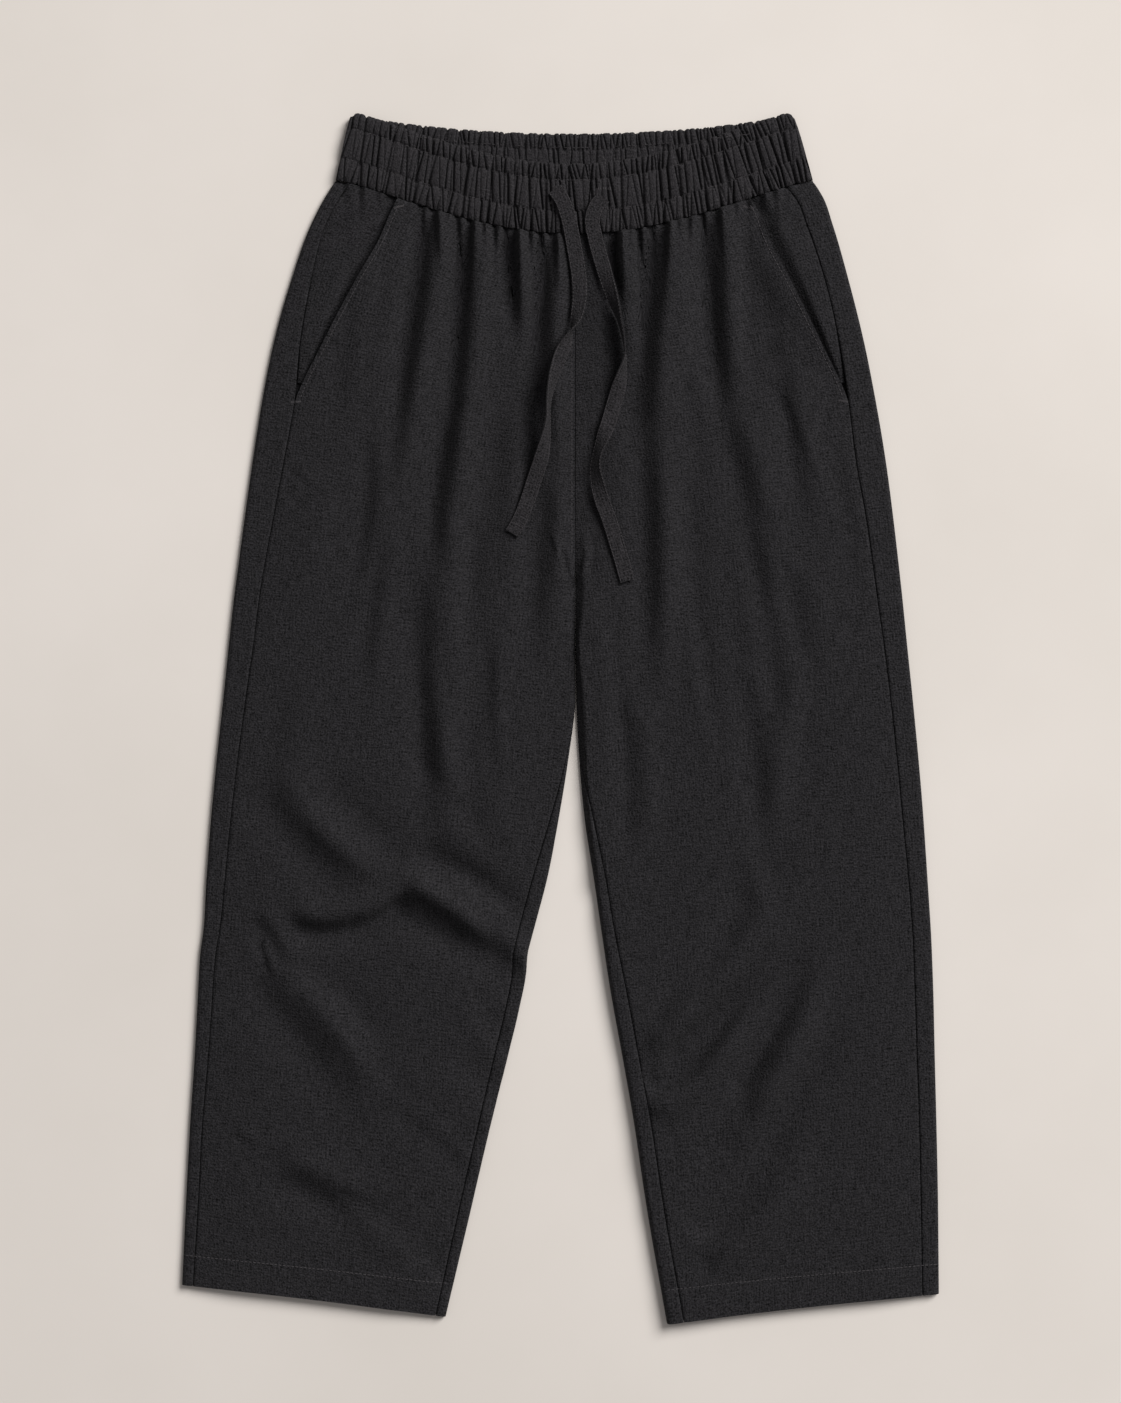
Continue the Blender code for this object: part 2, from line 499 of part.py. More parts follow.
def panel_grids(leg, is_front, heights):
    """Outer and inner points of a panel: one line of points for each mesh row."""
    inward = 1 if is_front else -1      # a back's outline runs the other way round
    outer, inner = [], []
    for n, outer_y in enumerate(heights):
        row = leg.section(outer_y)
        s, z = leg.front_outline(row) if is_front else leg.back_outline(row)
        fractions = FRONT_FRACTIONS if is_front else back_fractions(row, s, z)
        ps, pz, ns, nz = pick_columns(s, z, fractions)
        from_hem = outer_y - heights[-1]
        turned_up = 1.0 - ease((from_hem - HEM_DEPTH + HEM_RUN_OUT) / HEM_RUN_OUT)
        wall = WALL + HEM_EXTRA * turned_up * is_front
        ns, nz = inward * ns, inward * nz
        ns[0], nz[0] = leg.seam_normal(row, row["open_in"] if is_front else row["side_in"])
        if not row["joined"]:
            ns[-1], nz[-1] = leg.seam_normal(row, row["length"] - row["inseam_in"])
        under = pz < EDGE_MID
        xy = leg.plan(row, ps, under)
        xy_in = leg.plan(row, ps + wall * ns, under)
        if n == 0:
            clear = SEAM_GAP / 2 if is_front else SEAM_GAP
            xy[:, 1] -= clear
            xy_in[:, 1] -= clear
        outer.append(np.column_stack([xy, pz]))
        inner.append(np.column_stack([xy_in, pz + wall * nz]))
    return outer, inner


def back_fractions(row, s, z):
    """Where a back panel's mesh columns lie: close on its strips, wide underneath."""
    total = float(np.hypot(np.diff(s), np.diff(z)).sum())
    side = row["side_in"] + 2 * EDGE_MID + BACK_RUN_IN
    if row["joined"]:
        wrap = 0.0
    else:
        wrap = 0.5 * math.pi * EDGE_MID + row["inseam_in"] * 1.1
    inner = wrap + BACK_RUN_IN
    lengths = [side * f for f in BACK_SIDE_FRACTIONS]
    for k in range(1, BACK_BOTTOM_COLUMNS):
        lengths.append(side + (total - side - inner) * k / BACK_BOTTOM_COLUMNS)
    lengths.extend(total - inner * f for f in BACK_INNER_FRACTIONS)
    return np.array(lengths) / total


def build_panels(leg, materials):
    """The front and back panel of one leg; gives back the front."""
    heights = row_heights(leg.hem_y)
    mirrored = leg.side == "left"
    for kind in ("back", "front"):
        is_front = kind == "front"
        outer, inner = panel_grids(leg, is_front, heights)
        points, faces = wall_mesh(outer, inner, mirrored == is_front)
        panel = add_mesh(kind + "_" + leg.side, points, faces, materials["panel"])
    return panel


def build_facing(leg, materials):
    """The strip behind a slant pocket, from the side seam to under the front panel."""
    outer, inner = [], []
    for outer_y in row_heights(FACING_END_Y):
        row = leg.section(outer_y)
        width = row["open_in"] - row["side_in"]
        s = np.linspace(row["side_in"] + SEAM_GAP / 2, row["open_in"] + FACING_UNDERLAP,
                        FACING_COLUMNS)
        seam_height = min(FACING_SEAM_HEIGHT, FACING_LOW + FACING_SLOPE * width)
        z = seam_height + (FACING_LOW - seam_height) * ease((s - row["side_in"]) / width)
        xy = leg.plan(row, s)
        xy[:, 1] -= SEAM_GAP / 2
        outer.append(np.column_stack([xy, z]))
        inner.append(np.column_stack([xy, z - FACING_WALL]))
    points, faces = wall_mesh(outer, inner, leg.side == "left")
    return add_mesh("pocket_facing_" + leg.side, points, faces, materials["facing"])


def band_column(v, layer, rows):
    """Plan points of the waistband at v, 0 to 1 from the wearer's right to left."""
    depth, power = BAND_TOP_SAG[layer]
    v = min(max(v, 0.0), 1.0)
    top = BAND_END_Y[0] - depth * max(math.sin(math.pi * v), 0.0) ** power
    bottom = waist_seam_y(BAND_LEFT_X[1] + (BAND_RIGHT_X[1] - BAND_LEFT_X[1]) * v, layer)
    line = []
    for w in rows:
        left = BAND_LEFT_X[0] + (BAND_LEFT_X[1] - BAND_LEFT_X[0]) * w
        right = BAND_RIGHT_X[0] + (BAND_RIGHT_X[1] - BAND_RIGHT_X[0]) * w
        line.append((left + (right - left) * v, top + (bottom - top) * w))
    return line


def build_waistband(materials):
    """A gathered ring, pressed flat: the front layer lies on the back layer."""
    rng = random.Random(GATHER_SEED)
    front_top = BAND_FRONT_BASE + BAND_FRONT_WALL
    radius = 0.5 * front_top
    edge = radius / (BAND_RIGHT_X[1] - BAND_LEFT_X[1])
    hollow = BAND_INNER_INSET * edge
    two = (BAND_ROWS[0], BAND_ROWS[-1])
    count = 2 * BAND_GATHERS
    outer, inner = [], []

    def fold_column(v_edge, direction, angle):
        """One column on the fold at an end of the band; angle 0 is its outermost line."""
        v = v_edge - direction * edge * (1 - math.cos(angle))
        z_out = radius + radius * math.sin(angle)
        inset = BAND_INNER_INSET - BAND_INNER_BULGE * math.cos(angle)
        v_in = v_edge - direction * edge * inset
        middle = 0.5 * (BAND_BACK_WALL + BAND_FRONT_BASE)
        z_in = middle + 0.5 * (BAND_FRONT_BASE - BAND_BACK_WALL) * math.sin(angle)
        return ([(x, y, z_out) for x, y in band_column(v, "front", BAND_ROWS)],
                [(x, y, z_in) for x, y in band_column(v_in, "front", two)])

    def lift(strength, row_swell, ridge):
        return strength * row_swell if ridge else 0.0

    for k in range(count + 1):
        v = edge + (1 - 2 * edge) * k / count
        strength = GATHER_RISE_FRONT * rng.uniform(*GATHER_SPREAD)
        plan = band_column(v, "front", BAND_ROWS)
        outer.append([(x, y, front_top + lift(strength, swell, k % 2 == 1))
                      for (x, y), swell in zip(plan, BAND_SWELL)])
        v_in = hollow + (1 - 2 * hollow) * k / count
        inner.append([(x, y, BAND_FRONT_BASE) for x, y in band_column(v_in, "front", two)])
    for angle in FOLD_ANGLES:
        out_line, in_line = fold_column(1.0, 1.0, math.radians(angle))
        outer.append(out_line)
        inner.append(in_line)
    for k in range(count + 1):
        v = 1 - edge - (1 - 2 * edge) * k / count
        strength = GATHER_RISE_BACK * rng.uniform(*GATHER_SPREAD)
        outer.append([(x, y, 0.0) for x, y in band_column(v, "back", two)])
        v_in = 1 - hollow - (1 - 2 * hollow) * k / count
        plan = band_column(v_in, "back", BAND_ROWS)
        inner.append([(x, y, BAND_BACK_WALL + lift(strength, swell, k % 2 == 1))
                      for (x, y), swell in zip(plan, BAND_SWELL)])
    for angle in reversed(FOLD_ANGLES):
        out_line, in_line = fold_column(0.0, -1.0, math.radians(angle))
        outer.append(out_line)
        inner.append(in_line)
    points, faces = ring_mesh(outer, inner)
    return add_mesh("waistband", points, faces, materials["band"])


def ring_mesh(outer, inner):
    """Close a ring of columns, which may have many rows on one face and two on the other."""
    points, outer_ids, inner_ids = [], [], []
    for columns, ids in ((outer, outer_ids), (inner, inner_ids)):
        for line in columns:
            ids.append(list(range(len(points), len(points) + len(line))))
            points.extend(line)
    faces = []
    total = len(outer)
    for k in range(total):
        n = (k + 1) % total
        for ids, outward in ((outer_ids, True), (inner_ids, False)):
            a, b = ids[k], ids[n]
            if len(a) == len(b):
                strips = [(a[r], a[r + 1], b[r + 1], b[r]) for r in range(len(a) - 1)]
            else:
                strips = [tuple(a + b[::-1])]
            faces.extend(f if outward else tuple(reversed(f)) for f in strips)
        oa, ob, ia, ib = outer_ids[k], outer_ids[n], inner_ids[k], inner_ids[n]
        faces.append((oa[0], ob[0], ib[0], ia[0]))
        faces.append((ob[-1], oa[-1], ia[-1], ib[-1]))
    return points, faces


def surface_tree(pieces):
    points, faces = [], []
    for piece in pieces:
        shift = len(points)
        points.extend(v.co.copy() for v in piece.data.vertices)
        faces.extend(tuple(shift + i for i in p.vertices) for p in piece.data.polygons)
    return BVHTree.FromPolygons(points, faces)


def height_below(tree, x, y):
    hit = tree.ray_cast(Vector((x * MM, y * MM, 0.1)), Vector((0.0, 0.0, -1.0)))[0]
    return hit.z / MM if hit is not None else 0.0


def tape_stations(side):
    """Evenly spaced stations on a smooth curve through a tape's table."""
    table = np.array(TAPES[side])
    run = np.concatenate([[0.0], np.cumsum(np.hypot(np.diff(table[:, 0]),
                                                    np.diff(table[:, 1])))])
    count = int(round(run[-1] / TAPE_STEP))
    at = np.linspace(0.0, run[-1], count + 1)
    return np.array([[smooth_lookup(run, table[:, c], a) for c in range(3)] for a in at])


def build_tape(side, tree, materials):
    """A flat drawstring end that lies on the cloth and turns over where the table says."""
    stations = tape_stations(side)
    along = np.gradient(stations[:, :2], axis=0)
    along /= np.hypot(along[:, 0], along[:, 1])[:, None]
    across = np.column_stack([-along[:, 1], along[:, 0]])
    turn = np.radians(stations[:, 2])
    half = 0.5 * TAPE_WIDTH
    needed = []
    for i, (x, y, _) in enumerate(stations):
        reach = half * abs(math.cos(turn[i])) + TAPE_MARGIN
        heights = [height_below(tree, x + across[i, 0] * q + along[i, 0] * p,
                                y + across[i, 1] * q + along[i, 1] * p)
                   for q in np.linspace(-reach, reach, 7)
                   for p in (-0.5 * TAPE_STEP, 0.0, 0.5 * TAPE_STEP)]
        upright = half * abs(math.sin(turn[i])) + 0.5 * TAPE_THICK * abs(math.cos(turn[i]))
        needed.append(max(heights) + TAPE_CLEAR + upright)
    needed = np.array(needed)
    padded = np.pad(needed, 2, mode="edge")
    highest = np.array([padded[i:i + 5].max() for i in range(len(needed))])
    padded = np.pad(highest, 1, mode="edge")
    centre_z = np.maximum((padded[:-2] + padded[1:-1] + padded[2:]) / 3, needed)
    points, faces = [], []
    for i, (x, y, _) in enumerate(stations):
        wide = np.array((across[i, 0] * math.cos(turn[i]), across[i, 1] * math.cos(turn[i]),
                         math.sin(turn[i])))
        thick = np.cross(np.array((along[i, 0], along[i, 1], 0.0)), wide)
        centre = np.array((x, y, centre_z[i]))
        for a, b in ((-1, -1), (1, -1), (1, 1), (-1, 1)):
            points.append(centre + a * half * wide + b * 0.5 * TAPE_THICK * thick)
    last = len(stations) - 1
    for i in range(last):
        for k in range(4):
            n = (k + 1) % 4
            faces.append((4 * i + k, 4 * i + n, 4 * i + 4 + n, 4 * i + 4 + k))
    faces.append((3, 2, 1, 0))
    faces.append(tuple(4 * last + k for k in range(4)))
    return add_mesh("drawstring_" + side, points, faces, materials["tape"])


def build_trousers():
    clear_scene()
    materials = {name: cloth_material("linen_" + name, colour)
                 for name, colour in COLOURS.items()}
    fronts = []
    for side in ("right", "left"):
        leg = Leg(side)
        fronts.append(build_panels(leg, materials))
        build_facing(leg, materials)
    band = build_waistband(materials)
    tree = surface_tree(fronts + [band])
    for side in ("right", "left"):
        build_tape(side, tree, materials)


build_trousers()
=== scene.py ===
# %% [markdown]
# # Linen drawstring trousers, laid flat
# The pair lies on its back on a pale plaster floor and is seen from straight above. The
# frame holds the panels, waistband and drawstring ends as rigid solids; here each one
# gets its cloth: a thin shell on the same form, with finer creases, seams and stitches.

# %% Load the frame and keep its size
import math
import random

import bpy
import numpy as np
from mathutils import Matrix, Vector
from mathutils.bvhtree import BVHTree


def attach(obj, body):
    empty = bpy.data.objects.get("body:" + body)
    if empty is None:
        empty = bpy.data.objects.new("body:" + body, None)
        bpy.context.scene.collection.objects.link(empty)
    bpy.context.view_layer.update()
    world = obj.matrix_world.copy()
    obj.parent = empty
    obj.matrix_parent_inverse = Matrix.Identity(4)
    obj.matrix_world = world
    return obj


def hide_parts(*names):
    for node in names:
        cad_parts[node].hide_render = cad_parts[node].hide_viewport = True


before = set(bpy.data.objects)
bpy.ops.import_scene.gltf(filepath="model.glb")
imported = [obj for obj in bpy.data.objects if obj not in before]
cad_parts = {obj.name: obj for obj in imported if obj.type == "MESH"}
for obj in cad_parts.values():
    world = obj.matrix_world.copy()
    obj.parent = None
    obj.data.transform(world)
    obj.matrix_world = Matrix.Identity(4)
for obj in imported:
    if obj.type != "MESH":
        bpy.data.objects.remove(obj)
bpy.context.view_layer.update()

print("nodes in the frame:", ", ".join(sorted(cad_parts)))

# %% [markdown]
# ## Sizes
# A maker works in millimetres, so every table here does too, and points turn to metres
# only when a mesh is made. The tables say where the cloth lies. One row of `SECTIONS` is
# a cut across a leg: it runs from the outline's outer edge to the centre-front seam, or
# to the inner leg below the crotch.

# %% Sizes of the cloth, the seams and the waistband
MM = 0.001
SHELL = 0.7                 # the visible cloth is a thin wall
FRAME_WALL = 1.2            # the wall that the solids have
SEAM_GAP = 0.4              # drawn a little open, so that a seam reads as a dark line
BACK_GAP = 0.1
CENTRE_HALF_GAP = 0.15      # the two legs stay this far from the middle below the crotch
EDGE_MID = 2.2              # height of the middle of a folded edge
EDGE_HEIGHT = 5.4           # a folded edge stands a little higher in cloth than in the solids
EDGE_ROLL = 4.0
INNER_LIFT = {"right": -0.6, "left": 4.6}   # the left inner leg springs up from the floor
INNER_LEAN_END = {"right": (78.0, 24.0), "left": (-60.0, 90.0)}
CENTRE_LIFT = {"right": -0.25, "left": 0.35}
LEAST_HEIGHT = 2 * FRAME_WALL + 0.35
PUFF = 2.6                  # cloth on cloth traps air, more than the solids show
PUFF_REACH = 55.0
SOFT_FLOOR = 0.5
LOWEST_SHELL = 1.7          # the front can't sink below this, where it touches the back
BAND_LEFT_X = (-168.4, -180.0)
BAND_RIGHT_X = (187.0, 202.0)
BAND_END_Y = (485.0, 430.0)
BAND_TOP_SAG = {"front": (42.0, 1.15), "back": (17.4, 0.66)}
WAIST_SEAM_SAG = (43.0, 1.2)
BACK_SEAM_SAG = 20.0
CROTCH_Y = 116.4
CENTRE_X = 12.0
HEM_DEPTH = 24.0
HEM_BOW = 1.4
HEM_BOW_REACH = 60.0
POCKET_GAPE = 4.8
POCKET_LENGTH = 176.0       # down the slant opening
POCKET_LIP = 26.0           # how far the gape reaches into the front
FACING_LOW = 2.0
FACING_SLOPE = 0.2
FACING_SEAM_HEIGHT = 5.6
FACING_SWELL = 2.0          # the facing swells up, then dives under the opening's edge
FACING_DIVE = 0.42          # over this share of its width
FACING_UNDERLAP = 10.0
FACING_END_Y = 270.0

SECTION_COLUMNS = ("outer_x", "outer_y", "inner_x", "inner_y", "side_in", "open_in",
                   "inseam_in", "inner_z", "inner_roll", "bow")
SECTIONS = {
    "right": (
        (-180, 430, 12, 387, 12, 51, 0, 5, 18, 1), (-188.8, 416, 12, 374.8, 12, 54, 0, 5, 18, 0.9),
        (-199.6, 394.8, 12, 356.4, 12, 57, 0, 4.9, 18, 0.7),
        (-215.6, 350, 12, 316.4, 16, 50, 0, 4.8, 18, 0.4),
        (-229.2, 302, 12, 274.8, 21, 39, 0, 4.7, 17, 0.2),
        (-238.8, 254, 12, 233.2, 26, 26, 0, 4.7, 16, 0),
        (-246.4, 206, 12, 191.6, 25, 25, 0, 4.5, 15, 0),
        (-253.2, 158, 12, 151.6, 23, 23, 0, 3.9, 14, 0),
        (-258.8, 116.4, 12, 116.4, 21, 21, 0, 2.75, 8, 0),
        (-261.2, 98, 11.85, 98, 20.5, 20.5, 0, 2.2, 7.5, 0),
        (-265.2, 62, 11.85, 62, 20, 20, 0, 2.2, 2.4, 0),
        (-270.4, 11.6, 11.85, 11.6, 18, 18, 0, 2.2, 4, 0),
        (-275.4, -34, 6.2, -34, 17, 17, 2, 2.2, 4, 0),
        (-280, -82, -1.6, -82, 16, 16, 7, 2.2, 4.5, 0),
        (-283.6, -130, -10.8, -130, 15, 15, 12, 2.2, 4, 0),
        (-286.4, -174, -22.4, -174, 13, 13, 12, 2.2, 4, 0),
        (-288.4, -188, -26, -188, 12.6, 12.6, 11.6, 2.2, 4, 0),
        (-289.6, -206, -27.6, -206, 12.2, 12.2, 11.2, 2.2, 4, 0),
        (-291, -234, -33.2, -234, 11.7, 11.7, 11, 2.2, 4, 0),
        (-293.2, -274, -42.8, -274, 11, 11, 11, 2.2, 4, 0),
        (-296.4, -322, -56.4, -328.4, 10, 10, 10, 2.2, 4, 0),
        (-299.6, -382, -73.2, -400.4, 10, 10, 9.5, 2.2, 4, 0),
        (-303, -454, -92, -479.6, 9, 9, 8, 2.2, 4, 0),
    ),
    "left": (
        (202, 430, 12, 387, 22, 52, 0, 5, 18, 1), (210.6, 416, 12, 374.8, 21.6, 53, 0, 5, 18, 0.9),
        (218, 394.8, 12, 356.4, 21, 53.6, 0, 4.9, 18, 0.7),
        (230.8, 350, 12, 316.4, 19, 45.6, 0, 4.8, 18, 0.4),
        (242.8, 302, 12, 274.8, 20, 34.4, 0, 4.7, 17, 0.2),
        (252.4, 254, 12, 233.2, 22, 22, 0, 4.7, 16, 0),
        (260.4, 206, 12, 191.6, 24, 24, 0, 4.5, 15, 0),
        (266.8, 158, 12, 151.6, 22, 22, 0, 3.9, 14, 0),
        (271.6, 116.4, 12, 116.4, 21, 21, 0, 2.75, 8, 0),
        (273.6, 98, 12.15, 98, 20.5, 20.5, 0, 2.2, 7, 0),
        (277.2, 62, 12.15, 62, 19, 19, 0, 2.2, 2.6, 0),
        (282.4, 11.6, 12.8, 11.6, 18, 18, 0, 2.2, 6, 0),
        (286.8, -34, 15, -34, 17.5, 17.5, 1.5, 2.2, 6, 0),
        (290.8, -82, 19.4, -82, 17, 17, 7, 2.2, 4.5, 0),
        (294, -130, 26.8, -130, 15.5, 15.5, 9.5, 2.2, 4, 0),
        (296.8, -174, 33.2, -174, 15, 15, 10.5, 2.2, 4, 0),
        (298.4, -214, 39.2, -214, 15, 15, 12.5, 2.2, 4, 0),
        (299.8, -274, 50, -274, 14.5, 14.5, 13, 2.2, 4, 0),
        (301, -322, 58.4, -322, 14, 14, 13.5, 2.2, 4, 0),
        (302.2, -378, 68.6, -390, 14, 14, 13.5, 2.2, 4, 0),
        (303, -461.2, 85.2, -485, 13.5, 13.5, 13.5, 2.2, 4, 0),
    ),
}
print("sections:", {side: len(rows) for side, rows in SECTIONS.items()})

# %% [markdown]
# ## Creases
# A crease shows as a band of slope: dark where it turns away from the light and bright
# where it turns towards it, with a ridge on one side and a trough on the other. Each row
# of `FOLDS` gives the band's middle line by its start, the point that bends it and its
# end, then its half width and its strength, negative for a dark band. `SMALL_FOLDS` are
# finer ones that the solids don't have, and the puckers are the short gathers that hang
# from the waist seam.

# %% The creases of each leg
FOLDS = {
    "right": (
        (-98, 418, -112.4, 326, -138, 146, 8.5, -2.7), (-70.8, 410, -74, 270, -104, 84, 8.5, -2.6),
        (-102, 118, -111.6, -19.6, -91.6, -112, 12, -2),
        (-58.8, 243.6, -79.6, 142, -93.2, 14, 12, 1.8),
        (-38, 404, -33.2, 342, -34.8, 292, 6, -2.6), (-6, 400, -16.4, 274, -6.8, 180, 9, -2.8),
        (-6.8, 198, -12.4, 125.2, -19.6, 19.6, 10, -1.8), (-22.8, 386, -24.4, 340, -26, 290, 7, 1),
        (-234, -46, -194, -112.4, -148, -134, 15, -1.5),
        (-206.8, -52.4, -160.4, -120.4, -108.4, -118.8, 14, 2),
        (-125, -118, -68.4, -134, -27, -172, 11, 2.8),
        (-222, -160, -168.4, -178, -115, -134, 9.5, -2.7),
        (-140, -137, -80.4, -168, -27, -209, 11, -2),
        (-242.8, -154.8, -228.4, -178, -210, -201.2, 7, -1),
        (-240, -190, -208.4, -226, -138, -346, 17, -1.7),
        (-232.4, -198, -176.4, -226, -128.4, -300, 13, 2),
        (-232, -358, -180.4, -382, -128, -394, 12, -1.5),
    ),
    "left": (
        (45.2, 404, 46, 366, 48.4, 326, 6, -2.6), (86, 412, 70, 302, 73.2, 190, 9, -3.1),
        (73.2, 230, 78.8, 110, 75.6, 14, 10, -1.8), (89.2, 230, 92.4, 94, 86, -2, 11, 1.5),
        (126, 420, 121.2, 326, 137, 214, 8.5, -2.4), (135.6, 250, 163.6, 142, 174.8, 54, 11, -1.7),
        (174.8, 74, 179.6, -58, 153.2, -138, 11, -1.6),
        (158, -118, 142, -194, 100, -238, 10, -2.2), (111.6, 366, 110, 286, 127.6, 206, 10, 1.2),
        (64, -303.6, 111.6, -298, 154, -206, 10, -3.2),
        (72, -276, 119.6, -250, 156, -166, 11, 2.8), (142, -314, 179.6, -258, 212, -178, 10, -2.6),
        (108, -426, 159.6, -398, 196, -330, 12, -2.3),
        (146, -354, 183.6, -306, 220, -224, 12, 2.2),
        (56.4, 19.6, 65.2, -50, 59.6, -131.6, 8, -1.5),
        (178, 282, 191.6, 198, 202.8, 134, 10, -0.7),
    ),
}
SMALL_FOLDS = {
    "right": (
        (0, 150, 1, 128, 4, 100, 5, 1.6), (2, 138, 6, 124, 9.5, 106, 3.4, -1.8),
        (-9, 150, -2, 128, 6, 96, 2.2, -0.7), (-206.8, -164.4, -186, -170, -160, -164, 5.5, -0.9),
        (-160, -166, -138, -150, -118.8, -136, 6, -2.6),
        (-122, -136, -84, -160, -34, -202, 7.5, -1.5), (-124, -122, -80, -143, -33, -186, 7, 1.5),
        (-204, -86, -178, -114, -148, -130, 9, -0.7),
        (-240, -176, -236, -190, -229, -212, 4, -1.6),
        (-232, -201, -205, -205, -186, -196, 3.5, 0.8),
        (-216, -214, -178, -240, -150, -312, 10, -0.8),
        (-262, -330, -248, -338, -240, -346, 5, -0.8),
        (-176, -374, -158, -388, -140, -390, 6, -0.8), (-228, 209, -206, 190, -179, 174, 3, -0.7),
        (-234, 190, -214, 172, -196, 150, 3, 0.5), (-86, 396, -88, 330, -92, 262, 8, 1.5),
        (-54, 396, -55, 340, -60, 250, 8, 1.3), (-116, 400, -128, 330, -150, 250, 9, 1.2),
        (-96, 62, -96, -20, -70, -86, 9, 1.2), (-116, 40, -122, -24, -104, -84, 8, 1),
        (-30, 260, -34, 180, -34, 90, 9, 1.3), (-52, 60, -56, 10, -48, -60, 7, -1.2),
    ),
    "left": (
        (23, 150, 22, 128, 19, 100, 5, 1.6), (21, 136, 17.5, 124, 14, 106, 3.4, -1.8),
        (38, 326, 42, 300, 48, 272, 6, -1.2), (58, 394, 60, 330, 60, 250, 7, 1.6),
        (106, 398, 100, 320, 96, 230, 9, 1.6), (144, 400, 142, 320, 152, 240, 8, 1.2),
        (112.4, 283.6, 118, 276, 122, 269, 4, -1.2), (156, 170, 176, 104, 190, 40, 10, 1.4),
        (58, 30, 64, -50, 63, -140, 8, 1.2), (51.6, -190, 62, -190, 72, -194, 3, -0.9),
        (188, 18, 160, -146, 108, -264, 16, 3.2), (116, -252, 92, -272, 68, -278, 9, 2.2),
        (96, -270, 126, -262, 156, -204, 6, 1.2), (66, -290, 100, -292, 126, -262, 5, -1.2),
        (172, 268, 196, 220, 206, 180, 6, -0.6), (214, 268, 206, 230, 196, 200, 6, 0.7),
        (120, -330, 150, -300, 186, -230, 7, -1), (34, 90, 44, 30, 42, -60, 9, 1),
    ),
}
PUCKERS = (
    (-171, 15, 2.4, 1.4), (-158, 22, 2.6, 1.8), (-145, 13, 2.2, 1.2), (-133, 12, 2, 1),
    (-121, 10, 2, 0.9), (-109, 24, 2.8, 1.5), (-99, 40, 3.6, 2.5), (-90, 13, 2.2, 1.2),
    (-81, 34, 3.2, 2.2), (-70, 46, 3.6, 2.6), (-61, 20, 2.4, 1.6), (-51, 42, 3.2, 2.6),
    (-43, 16, 2.2, 1.4), (-35, 40, 3.2, 2.4), (-24, 36, 2.8, 2.3), (-14, 24, 2.4, 1.8),
    (-4, 40, 3.4, 2.6), (24, 18, 2.2, 1.5), (33, 30, 2.8, 2), (46, 44, 3.4, 2.6),
    (56, 22, 2.4, 1.7), (64, 44, 3.4, 2.6), (75, 22, 2.4, 1.6), (86, 42, 3.4, 2.6),
    (95, 18, 2.2, 1.4), (104, 34, 3, 2.1), (115, 26, 2.6, 1.9), (127, 34, 3, 2.1),
    (140, 14, 2.2, 1.3), (151, 18, 2.4, 1.5), (162, 26, 2.8, 2), (172, 20, 2.4, 1.7),
    (182, 14, 2.2, 1.2),
)
# Soft random creases: how many, where they start (y from, to), their slant (x per y),
# length, half width and greatest strength.
DRAPE = {
    "right": ((12, 380, 40, 0.12, 150, 11, 2), (14, -20, -380, -0.9, 95, 12, 1.7)),
    "left": ((12, 380, 40, -0.12, 150, 11, 2), (14, -20, -380, 0.8, 95, 12, 1.7)),
}
DRAPE_SEEDS = {"right": 21, "left": 34}
BRIGHT_GAIN = 1.7
DARK_GAIN = 2.3
SMALL_GAIN = 1.0
FOLD_SPREAD = 1.4           # linen's folds are soft, so each band is drawn this much wider
PUCKER_GAIN = 1.5
LIGHT_WAY = (0.75, 0.66)    # on the page, the way to the light
STEP_PEAK = math.sqrt(2 * math.e)       # so that a crease's crest is as high as its strength
print("creases:", {side: len(FOLDS[side]) + len(SMALL_FOLDS[side]) for side in FOLDS})

# %% [markdown]
# ## Mesh and node helpers
# Cloth this fine has tens of thousands of faces, so the meshes are filled from numpy
# arrays, which is far quicker than adding faces one by one. Each face corner also gets a
# UV in centimetres of cloth, so that the weave runs with the grain of each piece.

# %% Helpers for meshes
def ease(x):
    x = np.clip(x, 0.0, 1.0)
    return x * x * (3 - 2 * x)


def smooth_lookup(keys, values, at):
    """Read a table at one key, on a smooth curve through its rows."""
    i = int(np.clip(np.searchsorted(keys, at) - 1, 0, len(keys) - 2))
    slopes = np.gradient(values, keys)
    step = keys[i + 1] - keys[i]
    t = np.clip((at - keys[i]) / step, 0.0, 1.0)
    return ((1 + 2 * t) * (1 - t) ** 2 * values[i] + t * (1 - t) ** 2 * step * slopes[i]
            + t * t * (3 - 2 * t) * values[i + 1] + t * t * (t - 1) * step * slopes[i + 1])


def add_mesh(name, points_mm, quads, uv_mm, material):
    """One object from arrays: points (n, 3) and UVs (n, 2) in mm, and faces (m, 4)."""
    points = np.asarray(points_mm, dtype=np.float64) * MM
    quads = np.asarray(quads, dtype=np.int32)
    mesh = bpy.data.meshes.new(name)
    mesh.vertices.add(len(points))
    mesh.vertices.foreach_set("co", points.ravel())
    mesh.loops.add(quads.size)
    mesh.loops.foreach_set("vertex_index", quads.ravel())
    mesh.polygons.add(len(quads))
    mesh.polygons.foreach_set("loop_start", np.arange(0, quads.size, 4, dtype=np.int32))
    mesh.polygons.foreach_set("loop_total", np.full(len(quads), 4, dtype=np.int32))
    layer = mesh.uv_layers.new(name="UVMap")
    layer.uv.foreach_set("vector", (np.asarray(uv_mm)[quads.ravel()] / 10.0).ravel())
    mesh.update(calc_edges=True)
    mesh.validate()
    mesh.shade_smooth()
    mesh.set_sharp_from_angle(angle=math.radians(60.0))
    mesh.materials.append(material)
    piece = bpy.data.objects.new(name, mesh)
    bpy.context.scene.collection.objects.link(piece)
    return piece


